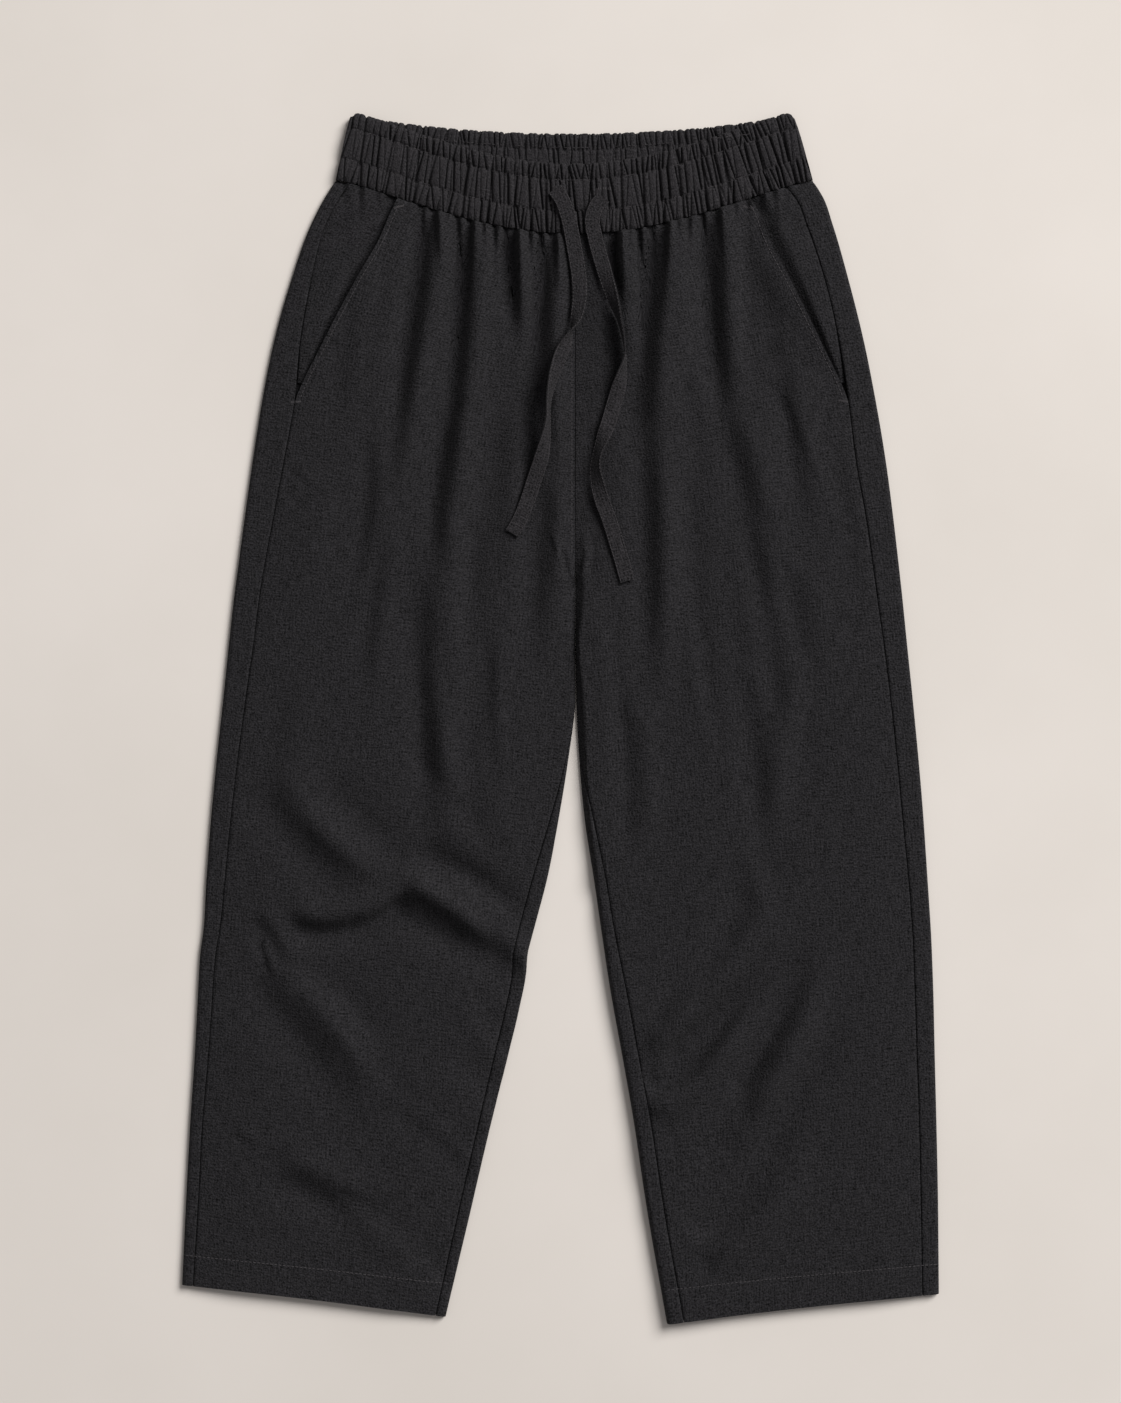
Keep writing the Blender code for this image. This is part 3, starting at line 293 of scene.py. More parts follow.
def wall_faces(rows, columns, flip):
    """Faces of a closed wall between two equal grids, the outer one first."""
    ids = np.arange(rows * columns).reshape(rows, columns)
    low, high = ids, ids + rows * columns
    faces = [np.stack([low[:-1, :-1], low[1:, :-1], low[1:, 1:], low[:-1, 1:]], -1),
             np.stack([high[:-1, :-1], high[:-1, 1:], high[1:, 1:], high[1:, :-1]], -1),
             np.stack([low[1:, 0], low[:-1, 0], high[:-1, 0], high[1:, 0]], -1),
             np.stack([low[:-1, -1], low[1:, -1], high[1:, -1], high[:-1, -1]], -1),
             np.stack([low[0, :-1], low[0, 1:], high[0, 1:], high[0, :-1]], -1),
             np.stack([low[-1, 1:], low[-1, :-1], high[-1, :-1], high[-1, 1:]], -1)]
    faces = np.concatenate([f.reshape(-1, 4) for f in faces])
    return faces[:, ::-1] if flip else faces


def add_wall(name, outer, inner, uv, flip, material):
    """A closed cloth wall from two grids of points, shaped (rows, columns, 3)."""
    outer, inner, uv = (np.asarray(a, dtype=float) for a in (outer, inner, uv))
    rows, columns = outer.shape[:2]
    points = np.concatenate([outer.reshape(-1, 3), inner.reshape(-1, 3)])
    both = np.concatenate([uv.reshape(-1, 2), uv.reshape(-1, 2)])
    piece = add_mesh(name, points, wall_faces(rows, columns, flip), both, material)
    print(name, "has", 4 * rows * columns, "triangles")
    return piece


# %% Helpers for materials
def linear(hex_colour):
    """An sRGB hex colour such as #252426 as linear red, green, blue and alpha."""
    values = [int(hex_colour[i:i + 2], 16) / 255 for i in (1, 3, 5)]
    values = [v / 12.92 if v <= 0.04045 else ((v + 0.055) / 1.055) ** 2.4 for v in values]
    return (*values, 1.0)


def add_node(tree, kind, settings=(), links=()):
    """Add a node, set its properties and sockets, and link its inputs to other sockets."""
    node = tree.nodes.new(kind)
    for name, value in dict(settings).items():
        if isinstance(name, str) and hasattr(node, name):
            setattr(node, name, value)
        else:
            node.inputs[name].default_value = value
    for name, socket in dict(links).items():
        tree.links.new(socket, node.inputs[name])
    return node


def new_material(name, settings):
    """A node material with the given inputs of its shader set."""
    material = bpy.data.materials.new(name)
    material.use_nodes = True
    tree = material.node_tree
    shader = next(n for n in tree.nodes if n.type == "BSDF_PRINCIPLED")
    for socket, value in settings.items():
        shader.inputs[socket].default_value = value
    return material, tree, shader


# %% [markdown]
# ## Charcoal linen
# Linen and cotton, plain woven and piece dyed. Its yarn is uneven, so dark cloth looks
# heathered: slubs lie along both yarns and catch more light than the thin places. The
# finish is matt, with the faint nap of short flax fibres, which is a little sheen and a
# roughness near 1. Real yarns lie about 0.55 mm apart; drawn at that size they would
# fall between the pixels, so the weave here is 1.5 mm and the slubs 11 and 15 mm long.

# %% Make the linen
WEAVE_MM = 1.5
WEFT_SLUB_MM = (11.0, 1.3)
WARP_SLUB_MM = (1.2, 15.0)
HEATHER = (1.45, 2.6)       # sums of the noises that give the darkest and the lightest yarn
GRAIN_SHARE = 2.0           # the weave against the slubs


def linen(name, dark, light, sheen):
    material, tree, shader = new_material(name, {
        "Roughness": 0.95, "IOR": 1.45, "Specular IOR Level": 0.15,
        "Sheen Weight": sheen, "Sheen Roughness": 0.6})
    uv = add_node(tree, "ShaderNodeTexCoord").outputs["UV"]

    def slubs(size_mm, detail):
        scale = (10.0 / size_mm[0], 10.0 / size_mm[1], 1.0)
        at = add_node(tree, "ShaderNodeMapping", {"Scale": scale}, {"Vector": uv})
        noise = add_node(tree, "ShaderNodeTexNoise",
                         {"Scale": 1.0, "Detail": detail, "Roughness": 0.6},
                         {"Vector": at.outputs["Vector"]})
        return noise.outputs["Fac"]

    weft = slubs(WEFT_SLUB_MM, 2.0)
    warp = slubs(WARP_SLUB_MM, 2.0)
    grain = slubs((WEAVE_MM, WEAVE_MM), 1.0)
    yarns = add_node(tree, "ShaderNodeMath", {"operation": "ADD"}, {0: weft, 1: warp})
    both = add_node(tree, "ShaderNodeMath", {"operation": "MULTIPLY_ADD", 1: GRAIN_SHARE},
                    {0: grain, 2: yarns.outputs[0]})
    spread = add_node(tree, "ShaderNodeMapRange",
                      {"From Min": HEATHER[0], "From Max": HEATHER[1]}, {"Value": both.outputs[0]})
    ramp = add_node(tree, "ShaderNodeValToRGB", {}, {"Fac": spread.outputs["Result"]})
    ramp.color_ramp.elements[0].color = linear(dark)
    ramp.color_ramp.elements[1].color = linear(light)
    bump = add_node(tree, "ShaderNodeBump", {"Strength": 0.7, "Distance": 0.0007},
                    {"Height": both.outputs[0]})
    tree.links.new(ramp.outputs["Color"], shader.inputs["Base Color"])
    tree.links.new(bump.outputs["Normal"], shader.inputs["Normal"])
    print("made", name, "from", dark, "to", light)
    return material


panel_linen = linen("piece_dyed_linen", "#050506", "#333235", 0.02)
band_linen = linen("piece_dyed_linen_gathered", "#08080A", "#3C3A3D", 0.02)
tape_linen = linen("piece_dyed_linen_tape", "#0A0A0B", "#39373A", 0.02)

thread = new_material("polyester_thread", {
    "Base Color": linear("#434043"), "Roughness": 0.6, "IOR": 1.5})[0]


# %% [markdown]
# ## The shape of a leg
# A leg laid flat is a squashed tube. Rather than model it by hand, a cut across it is
# worked out at any height: the fronts are on top, and the backs lie below and wrap
# forward round both folded edges, up to the side seam and the inseam. The same cut is
# used by every piece of that leg, so seams meet by construction.

# %% A leg's cross-sections
SIDE_DENT = 1.0             # how deep sewing pulls the cloth in, mm
SEAM_DENT = 1.3
STITCH_DENT = 0.35
HEM_RISE = 0.45
HEM_DENT = 0.5
WAIST_DENT = 1.8


def waist_seam_y(x, layer="front"):
    x0, x1 = BAND_LEFT_X[1], BAND_RIGHT_X[1]
    x = np.clip(x, x0, x1)
    if layer == "back":
        share = np.minimum((x - x0) / (CENTRE_X - x0), (x1 - x) / (x1 - CENTRE_X))
        return BAND_END_Y[1] - BACK_SEAM_SAG * share
    sag = np.maximum(np.sin(math.pi * (x - x0) / (x1 - x0)), 0.0)
    return BAND_END_Y[1] - WAIST_SEAM_SAG[0] * sag ** WAIST_SEAM_SAG[1]


def crease_step(away, half_width, rise):
    """A slope through zero, with its crest towards the light where rise is below zero."""
    d = away / half_width
    return -rise * STEP_PEAK * d * np.exp(-d ** 2)


def crease_height(folds, x, y):
    """Sum of creases over arrays of x and y."""
    total = np.zeros_like(x)
    steps = np.linspace(0.0, 1.0, 41)
    for x0, y0, x1, y1, x2, y2, half_width, rise in folds:
        near = ((x > min(x0, x1, x2) - 3 * half_width) & (x < max(x0, x1, x2) + 3 * half_width)
                & (y > min(y0, y1, y2) - 3 * half_width)
                & (y < max(y0, y1, y2) + 3 * half_width))
        if not near.any():
            continue
        px, py = x[near], y[near]
        lx = (1 - steps) ** 2 * x0 + 2 * steps * (1 - steps) * x1 + steps ** 2 * x2
        ly = (1 - steps) ** 2 * y0 + 2 * steps * (1 - steps) * y1 + steps ** 2 * y2
        nearest = np.hypot(px[:, None] - lx[None, :], py[:, None] - ly[None, :]).argmin(axis=1)
        tx, ty = np.gradient(lx)[nearest], np.gradient(ly)[nearest]
        size = np.hypot(tx, ty)
        nx, ny = -ty / size, tx / size
        if (y0 - y2) * LIGHT_WAY[0] + (x2 - x0) * LIGHT_WAY[1] < 0:
            nx, ny = -nx, -ny
        away = (px - lx[nearest]) * nx + (py - ly[nearest]) * ny
        past = np.hypot(px - lx[nearest], py - ly[nearest]) ** 2 - away ** 2
        along = steps[nearest]
        fade = ease(np.minimum(along / 0.22 + 0.15, (1 - along) / 0.45))
        fade = fade * np.exp(-np.maximum(past, 0.0) / half_width ** 2)
        total[near] += fade * crease_step(away, half_width, rise)
    return total


def pucker_height(x, y):
    """The puckers' depth; each one lies in a V that narrows away from the seam."""
    total = np.zeros_like(x)
    below = np.maximum(waist_seam_y(x) - y, 0.0)
    for at, length, half_width, depth in PUCKERS:
        lean = 0.06 * below * math.sin(at)
        fade = np.exp(-(below / (0.75 * length)) ** 1.4)
        total += PUCKER_GAIN * fade * crease_step(x - at - lean, half_width, -depth)
    return total


def drape_folds(side):
    """Faint creases strewn over one leg with a seeded random spread."""
    rng = random.Random(DRAPE_SEEDS[side])
    away = -1.0 if side == "right" else 1.0
    folds = []
    for count, high, low, slant, length, half_width, strength in DRAPE[side]:
        for i in range(count):
            y0 = high + (low - high) * (i + rng.random()) / count
            x0 = CENTRE_X + away * rng.uniform(25.0, 230.0)
            reach = length * rng.uniform(0.6, 1.3)
            y2 = y0 - reach
            x2 = x0 - reach * slant * rng.uniform(0.5, 1.5)
            bend = rng.uniform(-0.12, 0.12) * reach
            rise = strength * rng.uniform(0.4, 1.0) * rng.choice((-1.0, 1.0))
            folds.append((x0, y0, 0.5 * (x0 + x2) + bend, 0.5 * (y0 + y2), x2, y2,
                          half_width * rng.uniform(0.8, 1.5), rise))
    return folds


class Leg:
    """One half of the trousers: its sections, creases and cross-sections."""

    def __init__(self, side):
        self.side = side
        self.rows = np.array(SECTIONS[side])
        self.keys = -self.rows[:, 1]
        self.hem_y = self.rows[-1, 1]
        self.folds = []
        for *line, half_width, rise in FOLDS[side]:
            gain = BRIGHT_GAIN if rise > 0 else DARK_GAIN
            self.folds.append((*line, half_width * FOLD_SPREAD, rise * gain))
        self.folds.extend((*f[:7], f[7] * SMALL_GAIN) for f in SMALL_FOLDS[side])
        self.folds.extend(drape_folds(side))

    def section(self, outer_y):
        values = {}
        for i, name in enumerate(SECTION_COLUMNS):
            values[name] = float(smooth_lookup(self.keys, self.rows[:, i], -outer_y))
        values["joined"] = outer_y >= CROTCH_Y - 0.01
        if values["joined"]:
            values["inner_x"] = CENTRE_X
            values["inner_z"] = max(values["inner_z"], LEAST_HEIGHT)
            values["inner_z"] += CENTRE_LIFT[self.side] * ease((outer_y - CROTCH_Y) / 60.0)
            values["inseam_in"] = 0.0
        else:
            values["inner_z"] = EDGE_MID
            values["inseam_in"] = max(values["inseam_in"], 0.0)
            away = math.copysign(CENTRE_HALF_GAP, values["outer_x"])
            inward_limit = max if away > 0 else min
            values["inner_x"] = inward_limit(values["inner_x"], CENTRE_X + away)
        values["open_in"] = max(values["open_in"], values["side_in"])
        values["hem_bow"] = HEM_BOW * (1 - ease((outer_y - self.hem_y) / HEM_BOW_REACH))
        start = np.array((values["outer_x"], values["outer_y"]))
        end = np.array((values["inner_x"], values["inner_y"]))
        values["start"] = start
        values["length"] = float(np.hypot(*(end - start)))
        values["along"] = (end - start) / values["length"]
        values["from_hem"] = outer_y - self.hem_y
        return values

    def plan(self, row, s, under=None):
        """Where on the page a point lies, s mm from the outline along its section."""
        xy = row["start"][None, :] + np.asarray(s)[:, None] * row["along"][None, :]
        share = (xy[:, 0] - row["outer_x"]) / (row["inner_x"] - row["outer_x"])
        chord = BAND_END_Y[1] + share * (waist_seam_y(CENTRE_X) - BAND_END_Y[1])
        seam = waist_seam_y(xy[:, 0])
        if under is not None:
            seam = np.where(under, waist_seam_y(xy[:, 0], "back"), seam)
        xy[:, 1] += max(row["bow"], 0.0) * (seam - chord)
        xy[:, 1] += row["hem_bow"] * np.sin(math.pi * np.clip(share, 0.0, 1.0))
        return xy

    def sewing(self, row, s, xy):
        """Low relief that sewing leaves: grooves, puckers and the doubled hem."""
        from_side = s - max(row["side_in"], 0.0)
        from_open = s - row["open_in"]
        from_inner = row["length"] - s
        relief = -SIDE_DENT * np.exp(-(from_side / 0.8) ** 2)
        pucker = np.sin(xy[:, 1] * 0.9 + 2.0 * np.sin(xy[:, 1] * 0.11))
        relief += 0.28 * pucker * np.exp(-(from_side / 5.0) ** 2)
        if row["joined"]:
            relief -= SEAM_DENT * np.exp(-from_inner ** 2)
            if self.side == "right":
                relief -= STITCH_DENT * np.exp(-((from_inner - 3.0) / 0.9) ** 2)
        elif row["inseam_in"] > 0.5:
            from_inseam = from_inner - row["inseam_in"]
            strength = ease(row["inseam_in"] / 6.0)
            relief -= SEAM_DENT * strength * np.exp(-from_inseam ** 2)
            relief += 0.24 * strength * pucker * np.exp(-(from_inseam / 5.0) ** 2)
        if row["open_in"] > row["side_in"] + 1.0:
            dent = STITCH_DENT * np.exp(-((from_open - 4.5) / 0.9) ** 2)
            relief = np.where(from_open > -0.5, relief - dent, relief)
        relief += HEM_RISE * (1 - ease((row["from_hem"] - HEM_DEPTH) / 1.5))
        relief -= HEM_DENT * math.exp(-((row["from_hem"] - HEM_DEPTH + 2.0) / 1.6) ** 2)
        below = waist_seam_y(xy[:, 0]) - xy[:, 1]
        relief -= WAIST_DENT * np.exp(-np.maximum(below, 0.0) / 2.4)
        return relief

    def top(self, row, s):
        """Height of the outer face on the upper side."""
        s = np.asarray(s, dtype=float)
        from_outer = np.clip(s, 0.0, None)
        from_inner = np.clip(row["length"] - s, 0.0, None)
        xy = self.plan(row, s)
        puff = PUFF * ease(from_outer / PUFF_REACH) * ease(from_inner / PUFF_REACH)
        height = EDGE_HEIGHT + puff
        spring = INNER_LIFT[self.side] * ease((CROTCH_Y + 50.0 - row["outer_y"]) / 90.0)
        height = height + spring * (1 - ease(from_inner / 60.0))
        strip = ease((from_outer - row["side_in"]) / 12.0)
        creases = crease_height(self.folds, xy[:, 0], xy[:, 1])
        height = height + strip * creases + pucker_height(xy[:, 0], xy[:, 1])
        in_pocket = ease((row["open_in"] - row["side_in"]) / 8.0)
        lip = 1 - ease((from_outer - row["open_in"]) / POCKET_LIP)
        gape = in_pocket * math.sin(math.pi * ease((BAND_END_Y[1] - row["outer_y"]) / POCKET_LENGTH))
        on_front = from_outer >= row["open_in"] - 0.01
        height = np.where(on_front, height + POCKET_GAPE * gape * lip, height)
        lowest = LOWEST_SHELL + 2.0 * in_pocket * (
            1 - ease((from_outer - row["open_in"] - FACING_UNDERLAP - 2.0) / 10.0))
        height = lowest + SOFT_FLOOR * np.logaddexp(0.0, (height - lowest) / SOFT_FLOOR)
        height = height + self.sewing(row, s, xy)
        x = np.clip(from_inner / row["inner_roll"], 0.0, 1.0)
        roll = np.sin(0.5 * math.pi * x) if row["joined"] else np.sqrt(1 - (1 - x) ** 2)
        roll = roll + self.lean(row["outer_y"]) * (x - roll)
        height = row["inner_z"] + (height - row["inner_z"]) * roll
        x = np.clip(from_outer / EDGE_ROLL, 0.0, 1.0)
        return EDGE_MID + (height - EDGE_MID) * np.sqrt(1 - (1 - x) ** 2)

    def lean(self, y):
        """How far the inner edge slopes instead of rounding over, from 0 to 1."""
        low, reach = INNER_LEAN_END[self.side]
        return ease((CROTCH_Y - y) / 12.0) * (1 - ease((low - y) / reach))

    def seam_normal(self, row, s):
        reach = min(0.2, 0.5 * (row["length"] - s))
        if reach < 0.1:
            return -1.0, 0.0
        low, high = self.top(row, np.array((s - reach, s + reach)))
        slope = (high - low) / (2 * reach)
        size = math.hypot(slope, 1.0)
        return slope / size, -1.0 / size

    def front_outline(self, row):
        end = row["length"] - (SEAM_GAP / 2 if row["joined"] else row["inseam_in"])
        if not row["joined"] and row["inseam_in"] > 0.5:
            end -= SEAM_GAP / 2
        begin = row["open_in"] + SEAM_GAP / 2
        turn = np.cos(np.linspace(0.0, 0.5 * math.pi, 60)) ** 2
        s = np.concatenate([np.linspace(begin, row["length"] - row["inner_roll"], 180),
                            row["length"] - row["inner_roll"] * turn])
        s = np.unique(np.clip(s, begin, end))
        z = self.top(row, s)
        if not row["joined"] and row["inseam_in"] <= 0.5:
            z[-1] += SEAM_GAP / 2
        return s, z

    def back_outline(self, row):
        strip = np.linspace(row["side_in"] - SEAM_GAP / 2, EDGE_ROLL, 30)
        turn = np.linspace(0.0, 0.5 * math.pi, 20)
        over = EDGE_ROLL * (1 - np.sin(turn))
        side_s = np.concatenate([strip, over[1:], EDGE_MID * (1 - np.cos(turn[1:]))])
        side_z = np.concatenate([self.top(row, strip), self.top(row, over[1:]),
                                 EDGE_MID * (1 - np.sin(turn[1:]))])
        if row["joined"]:
            flat = np.linspace(EDGE_MID, row["length"] - BACK_GAP / 2, 40)[1:]
            return np.concatenate([side_s, flat]), np.concatenate([side_z, 0 * flat])
        flat = np.linspace(EDGE_MID, row["length"] - EDGE_MID, 40)[1:]
        s = np.concatenate([side_s, flat,
                            row["length"] - EDGE_MID * (1 - np.sin(turn[1:]))])
        z = np.concatenate([side_z, 0 * flat, EDGE_MID * (1 - np.cos(turn[1:]))])
        if row["inseam_in"] <= 0.5:
            z[-1] -= SEAM_GAP / 2
            return s, z
        inset = max(row["inseam_in"] - SEAM_GAP / 2, 0.3)
        back_over = inset * np.linspace(0.0, 1.0, 40)[1:] ** 2
        return (np.concatenate([s, row["length"] - back_over]),
                np.concatenate([z, self.top(row, row["length"] - back_over)]))


def run_along(a, b):
    """How far along a line each of its points lies."""
    return np.concatenate([[0.0], np.cumsum(np.hypot(np.diff(a), np.diff(b)))])


def pick_columns(s, z, at):
    """Points and normals of an outline at the given distances along it."""
    run = run_along(s, z)
    at = np.asarray(at) * run[-1]
    before = np.clip(at - 0.5, 0.0, run[-1])
    after = np.clip(at + 0.5, 0.0, run[-1])
    ps, pz = np.interp(at, run, s), np.interp(at, run, z)
    ds = np.interp(after, run, s) - np.interp(before, run, s)
    dz = np.interp(after, run, z) - np.interp(before, run, z)
    size = np.hypot(ds, dz)
    return ps, pz, dz / size, -ds / size


legs = {side: Leg(side) for side in ("right", "left")}
print("hem at", {side: leg.hem_y for side, leg in legs.items()})

# %% [markdown]
# ## The panels
# Each panel is two grids of points, the outer face and the inner face, closed along
# their rims. The rows are 3 mm apart, close enough for every crease to turn smoothly.

# %% Build the four panels
CUT_SHARE = 90              # the few rows of gathers at the waist seam don't set the width
ROWS_ABOVE = 106
ROWS_BELOW = 196
FRONT_COLUMNS = 120
SIDE_COLUMNS = 22
BOTTOM_COLUMNS = 6
INNER_COLUMNS = 16


def row_heights(leg):
    return np.concatenate([np.linspace(BAND_END_Y[1], CROTCH_Y, ROWS_ABOVE),
                           np.linspace(CROTCH_Y - 1.0, leg.hem_y, ROWS_BELOW)])


def front_columns(row, total):
    near = np.array((0.0, 0.4, 0.9, 1.5, 2.2, 3.0, 4.0, 5.0, 6.2, 7.6))
    middle = np.linspace(near[-1], total - near[-1], FRONT_COLUMNS)[1:-1]
    return np.concatenate([near, middle, total - near[::-1]]) / total


def back_columns(row, total):
    side = row["side_in"] + 2 * EDGE_MID + 3.0
    wrap = 0.0 if row["joined"] else 0.5 * math.pi * EDGE_MID + 1.1 * row["inseam_in"]
    inner = wrap + 3.0
    return np.concatenate([
        np.linspace(0.0, side, SIDE_COLUMNS, endpoint=False),
        np.linspace(side, total - inner, BOTTOM_COLUMNS, endpoint=False),
        np.linspace(total - inner, total, INNER_COLUMNS)]) / total


def cut_of(outer):
    """Width, length and area of the flat cut that shows, in metres, from its smooth form."""
    outer = np.array(outer)
    steps = np.linalg.norm(np.diff(outer, axis=1), axis=2).sum(axis=1)
    rows = np.linalg.norm(np.diff(outer[:, ::8], axis=0), axis=2).mean(axis=1)
    width, length = float(np.percentile(steps, CUT_SHARE)), float(rows.sum())
    area = float((0.5 * (steps[1:] + steps[:-1]) * rows).sum())
    return width * MM, length * MM, area * MM * MM


def build_panel(leg, kind):
    outline, columns, inward = {"front": (leg.front_outline, front_columns, 1),
                                "back": (leg.back_outline, back_columns, -1)}[kind]
    outer, inner, uv = [], [], []
    for n, outer_y in enumerate(row_heights(leg)):
        row = leg.section(outer_y)
        s, z = outline(row)
        total = float(np.hypot(np.diff(s), np.diff(z)).sum())
        ps, pz, ns, nz = pick_columns(s, z, columns(row, total))
        ns, nz = inward * ns, inward * nz
        ns[0], nz[0] = leg.seam_normal(row, row["open_in"] if inward > 0 else row["side_in"])
        if not row["joined"]:
            ns[-1], nz[-1] = leg.seam_normal(row, row["length"] - row["inseam_in"])
        under = pz < EDGE_MID
        xy = leg.plan(row, ps, under)
        xy_in = leg.plan(row, ps + SHELL * ns, under)
        if n == 0:
            xy[:, 1] -= SEAM_GAP
            xy_in[:, 1] -= SEAM_GAP
        outer.append(np.column_stack([xy, np.maximum(pz, 0.0)]))
        inner.append(np.column_stack([xy_in, np.maximum(pz + SHELL * nz, 0.1)]))
        uv.append(np.column_stack([ps * (1 if leg.side == "right" else -1),
                                   np.full(len(ps), outer_y) + 0.08 * ps]))
    piece = add_wall(f"linen_{kind}_{leg.side}", outer, inner, uv,
                     (leg.side == "left") == (inward > 0), panel_linen)
    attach(piece, "root")
    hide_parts(f"{kind}_{leg.side}")
    return piece


panels = {(kind, side): build_panel(legs[side], kind)
          for side in ("right", "left") for kind in ("front", "back")}


# %% [markdown]
# ## The pocket facings
# Behind each slant opening a strip of the same cloth runs from the side seam to under
# the front panel. It swells up beside the seam and dives under the opening's edge, which
# throws a shadow on it.

# %% Build the pocket facings
FACING_ROWS = 60
FACING_COLUMNS = 28


def build_facing(leg):
    outer, inner, uv = [], [], []
    for outer_y in np.linspace(BAND_END_Y[1], FACING_END_Y, FACING_ROWS):
        row = leg.section(outer_y)
        width = row["open_in"] - row["side_in"]
        s = np.linspace(row["side_in"] + SEAM_GAP / 2, row["open_in"] + FACING_UNDERLAP,
                        FACING_COLUMNS)
        seam_height = min(FACING_SEAM_HEIGHT, FACING_LOW + FACING_SLOPE * width)
        across = np.clip((s - row["side_in"]) / max(width, 6.0), 0.0, 1.0)
        sunk = ease((across - 1.0 + FACING_DIVE) / FACING_DIVE)
        swell = FACING_SWELL * min(width / 25.0, 1.0) * np.sin(0.5 * math.pi * across)
        z = FACING_LOW + (seam_height + swell - FACING_LOW) * (1 - sunk)
        xy = leg.plan(row, s)
        z = z - 0.8 * np.exp(-((s - row["side_in"]) / 0.9) ** 2)
        z = z + 0.9 * (1 - sunk) * pucker_height(xy[:, 0], xy[:, 1])
        z = np.maximum(z, LOWEST_SHELL - 0.2)
        xy[:, 1] -= SEAM_GAP * (outer_y == BAND_END_Y[1])
        outer.append(np.column_stack([xy, z]))
        inner.append(np.column_stack([xy, z - SHELL]))
        uv.append(np.column_stack([s, np.full(len(s), outer_y)]))
    piece = add_wall(f"linen_facing_{leg.side}", outer, inner, uv, leg.side == "left",
                     panel_linen)
    width, length, area = cut_of(outer)
    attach(piece, "root")
    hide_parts(f"pocket_facing_{leg.side}")
    return piece


facings = {side: build_facing(leg) for side, leg in legs.items()}

# %% [markdown]
# ## The waistband
# Elastic is sewn inside a folded band in three channels, and when it springs back the
# cloth bunches into narrow ridges about 5 mm apart. They are finer in the two outer
# channels, and each stitch row pinches them. Each channel therefore has its own list of
# valleys, drawn with a seeded random spread, and some valleys run through all three.

# %% Build the waistband
BAND_BACK_WALL = 1.5
BAND_FRONT_BASE = 2.8
BAND_FRONT_WALL = 2.2
BAND_LIFT = 2.2             # the gathered cloth stands up over the elastic
BAND_STITCH_ROWS = (0.235, 0.68)
BAND_CHANNELS = ((0.0, 0.235, 4.1), (0.235, 0.68, 5.6), (0.68, 1.0, 4.3))
BAND_COLUMNS = 760
BAND_CORNER = (5.0, 9.0)    # the top corners are rounded by this much, over this length
GATHER_SLANT = 1.9          # a gather leans by up to this much either way
GATHER_DEPTH = (1.0, 3.4)   # the shallowest gather, and how much deeper the deepest is
GATHER_WIDTH = (0.5, 0.95)
THROUGH_SLANT = 3.0         # the same for the valleys that run through all three channels
THROUGH_DEPTH = (1.6, 3.2)
THROUGH_WIDTH = 1.1
THROUGH_SPACING = (9.0, 24.0)
BAND_INNER_LOW = 0.6        # the inner face stays above this
BAND_BACK_RANGE = (0.75, 4.2)           # lowest and highest gather of the back layer
BAND_GATHERED = 2.2         # cloth along the band for each mm that it lies
BAND_DEPTH = 55.0
BAND_FRONT_ROWS = 48
BAND_BACK_ROWS = 32


def band_plan(v, w, layer):
    """Plan point of the waistband; v runs along it and w down it, both from 0 to 1."""
    depth, power = BAND_TOP_SAG[layer]
    v = np.clip(v, 0.0, 1.0)
    top = BAND_END_Y[0] - depth * np.maximum(np.sin(math.pi * v), 0.0) ** power
    bottom = waist_seam_y(BAND_LEFT_X[1] + (BAND_RIGHT_X[1] - BAND_LEFT_X[1]) * v, layer)
    left = BAND_LEFT_X[0] + (BAND_LEFT_X[1] - BAND_LEFT_X[0]) * w
    right = BAND_RIGHT_X[0] + (BAND_RIGHT_X[1] - BAND_RIGHT_X[0]) * w
    x = left + (right - left) * v
    from_end = np.minimum(v, 1 - v) * (BAND_RIGHT_X[0] - BAND_LEFT_X[0])
    corner = BAND_CORNER[0] * (1 - np.clip(from_end / BAND_CORNER[1], 0.0, 1.0)) ** 2
    return x, top + (bottom - top) * w - corner * (1 - w) ** 5


def gather_relief(x, w, seed):
    """How deep the gathers are at x (mm along the band) and w (down it)."""
    rng = random.Random(seed)
    relief = np.zeros_like(x)
    start, stop = x.min(), x.max()
    through = []
    at = start
    while at < stop:
        through.append((at, rng.uniform(-THROUGH_SLANT, THROUGH_SLANT),
                        rng.uniform(*THROUGH_DEPTH)))
        at += rng.uniform(*THROUGH_SPACING)
    for top, bottom, spacing in BAND_CHANNELS:
        middle, half = 0.5 * (top + bottom), 0.5 * (bottom - top)
        inside = np.clip(1 - ((w - middle) / half) ** 2, 0.0, 1.0)
        reach = ease(np.clip(1.15 - np.abs(w - middle) / half, 0.0, 0.3) / 0.3)
        at = start
        while at < stop:
            slant = rng.uniform(-GATHER_SLANT, GATHER_SLANT)
            depth = GATHER_DEPTH[0] + GATHER_DEPTH[1] * rng.random() ** 1.4
            width = rng.uniform(*GATHER_WIDTH)
            near = np.abs(x[0] - at) < 8.0
            line = at + slant * (w[:, near] - middle) / half
            away = np.abs(x[:, near] - line) / width
            relief[:, near] -= depth * reach[:, near] * np.exp(-away ** 1.4)
            at += spacing * rng.uniform(0.6, 1.4)
        relief += 1.1 * inside
    for at, slant, depth in through:
        near = np.abs(x[0] - at) < 9.0
        line = at + slant * (w[:, near] - 0.5)
        away = np.abs(x[:, near] - line) / THROUGH_WIDTH
        relief[:, near] -= depth * np.exp(-away ** 1.5)
    for row in BAND_STITCH_ROWS:
        relief -= 0.55 * np.exp(-((w - row) / 0.016) ** 2)
    return relief


